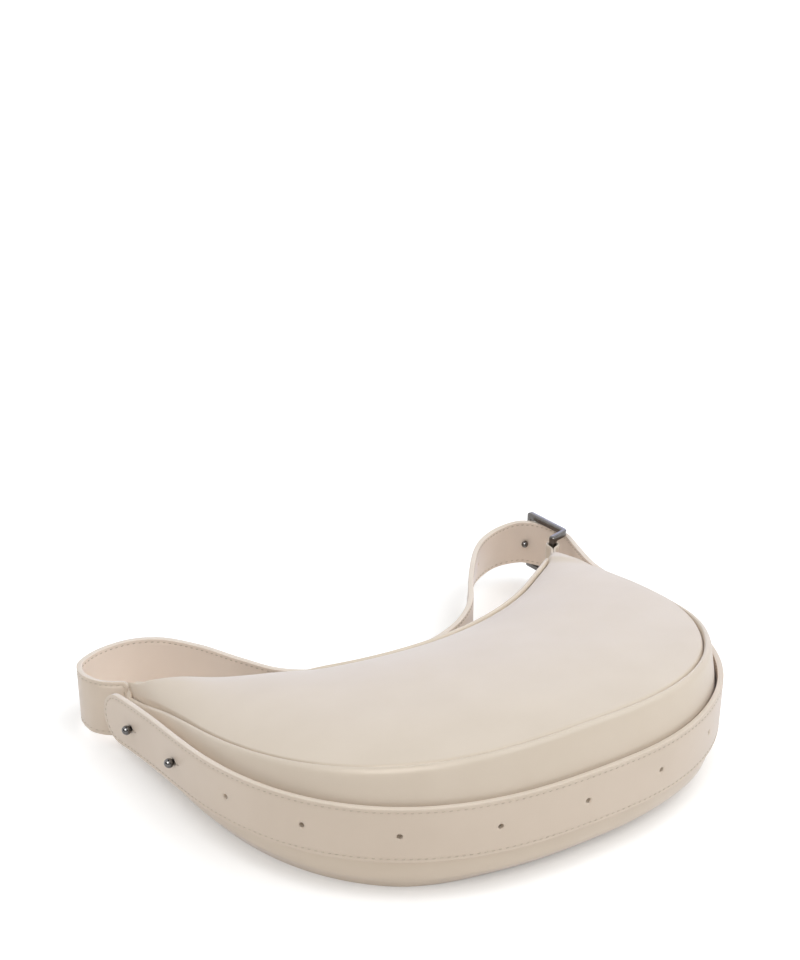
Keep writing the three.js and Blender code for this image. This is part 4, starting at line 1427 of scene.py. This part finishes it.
def seen_rays(tree):
    """1 for rays from the camera, from glossy surfaces and through glass, else 0."""
    rays = add_node(tree, "ShaderNodeLightPath").outputs
    glossy = brighter(tree, rays["Is Camera Ray"], rays["Is Glossy Ray"])
    return brighter(tree, glossy, rays["Is Transmission Ray"])


def add_floor():
    corners = [(-1, -1, 0), (1, -1, 0), (1, 1, 0), (-1, 1, 0)]
    material = bpy.data.materials.new("floor")
    material.use_nodes = True
    tree = material.node_tree
    tree.nodes.remove(tree.nodes["Principled BSDF"])
    plain = add_node(tree, "ShaderNodeBsdfDiffuse", Color=FLOOR_COLOUR).outputs[0]
    open_share = add_node(tree, "ShaderNodeAmbientOcclusion", Distance=FLOOR_SHADE_REACH).outputs["AO"]
    shade = value_between(tree, open_share, *FLOOR_SHADE)
    seen = add_node(tree, "ShaderNodeBsdfDiffuse", Color=shade).outputs[0]
    glow = add_node(tree, "ShaderNodeEmission", Color=shade, Strength=FLOOR_GLOW).outputs[0]
    shader = mix_shaders(tree, seen_rays(tree), plain, add_shaders(tree, seen, glow))
    set_inputs(tree, tree.nodes["Material Output"], Surface=shader)
    points = np.array(corners) * FLOOR_HALF - (0, 0, FLOOR_DROP)
    floor = add_mesh("floor", points, [(0, 1, 2, 3)], material)
    floor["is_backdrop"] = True


def round_patch(tree, centre, spread_degrees, inside, outside):
    """Value inside and outside a soft round patch of the surroundings."""
    way = add_node(tree, "ShaderNodeTexCoord").outputs["Generated"]
    middle = Vector(centre).normalized()
    facing = add_node(tree, "ShaderNodeVectorMath", way, middle, settings={"operation": "DOT_PRODUCT"})
    patch = add_node(
        tree, "ShaderNodeMapRange", settings={"interpolation_type": "SMOOTHSTEP"},
        Value=facing.outputs["Value"], To_Min=outside, To_Max=inside,
        From_Min=math.cos(math.radians(spread_degrees * PATCH_FADE)),
        From_Max=math.cos(math.radians(spread_degrees)))
    return patch.outputs["Result"]


def surroundings(tree):
    """White for the camera. Shiny surfaces also see a dark card, a window and a cool sheet."""
    card = round_patch(tree, CARD_WAY, CARD_SPREAD, CARD_LIGHT, 1)
    window = round_patch(tree, WINDOW_WAY, WINDOW_SPREAD, WINDOW_LIGHT, 0)
    camera = add_node(tree, "ShaderNodeLightPath").outputs["Is Camera Ray"]
    strength = brighter(tree, brighter(tree, card, window), camera)
    white = add_node(tree, "ShaderNodeBackground", Color=(1, 1, 1, 1), Strength=strength)
    sheet = round_patch(tree, SHEET_WAY, SHEET_SPREAD, 1, 0)
    cool = add_node(tree, "ShaderNodeBackground", Color=SHEET_COLOUR, Strength=sheet)
    return add_shaders(tree, white.outputs[0], cool.outputs[0])


def add_world():
    world = bpy.data.worlds.new("studio")
    bpy.context.scene.world = world
    world.use_nodes = True
    tree = world.node_tree
    soft = tree.nodes["Background"]
    set_inputs(tree, soft, Color=WORLD_COLOUR, Strength=WORLD_LIGHT)
    shader = mix_shaders(tree, seen_rays(tree), soft.outputs[0], surroundings(tree))
    set_inputs(tree, tree.nodes["World Output"], Surface=shader)


def add_sun(name, towards, strength, colour):
    data = bpy.data.lights.new(name, "SUN")
    data.energy = strength
    data.color = colour
    data.angle = math.radians(SUN_SPREAD)
    add_object(name, data).rotation_euler = Vector(towards).to_track_quat("Z", "Y").to_euler()


def write_sizes():
    boxes = {"cad": cad_box, "visual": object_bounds()}
    sizes = {name: [list(corner) for corner in box] for name, box in boxes.items()}


bpy.context.scene.view_settings.view_transform = "Standard"
add_camera()
add_body()
add_lining()
add_zip()
add_slider()
add_strap()
add_studs()
add_buckle()
add_tab()
dress_kept_nodes()
add_floor()
add_world()
add_sun("key", (0.5, -0.4, 0.77), 1.7, COOL_LIGHT)
add_sun("front_fill", (-0.5, -0.6, 0.62), 0.72, WHITE_LIGHT)
add_sun("back_left", (-0.5, 0.5, 0.7), 0.76, COOL_LIGHT)
add_sun("back_right", (0.5, 0.5, 0.7), 0.3, COOL_LIGHT)
write_sizes()
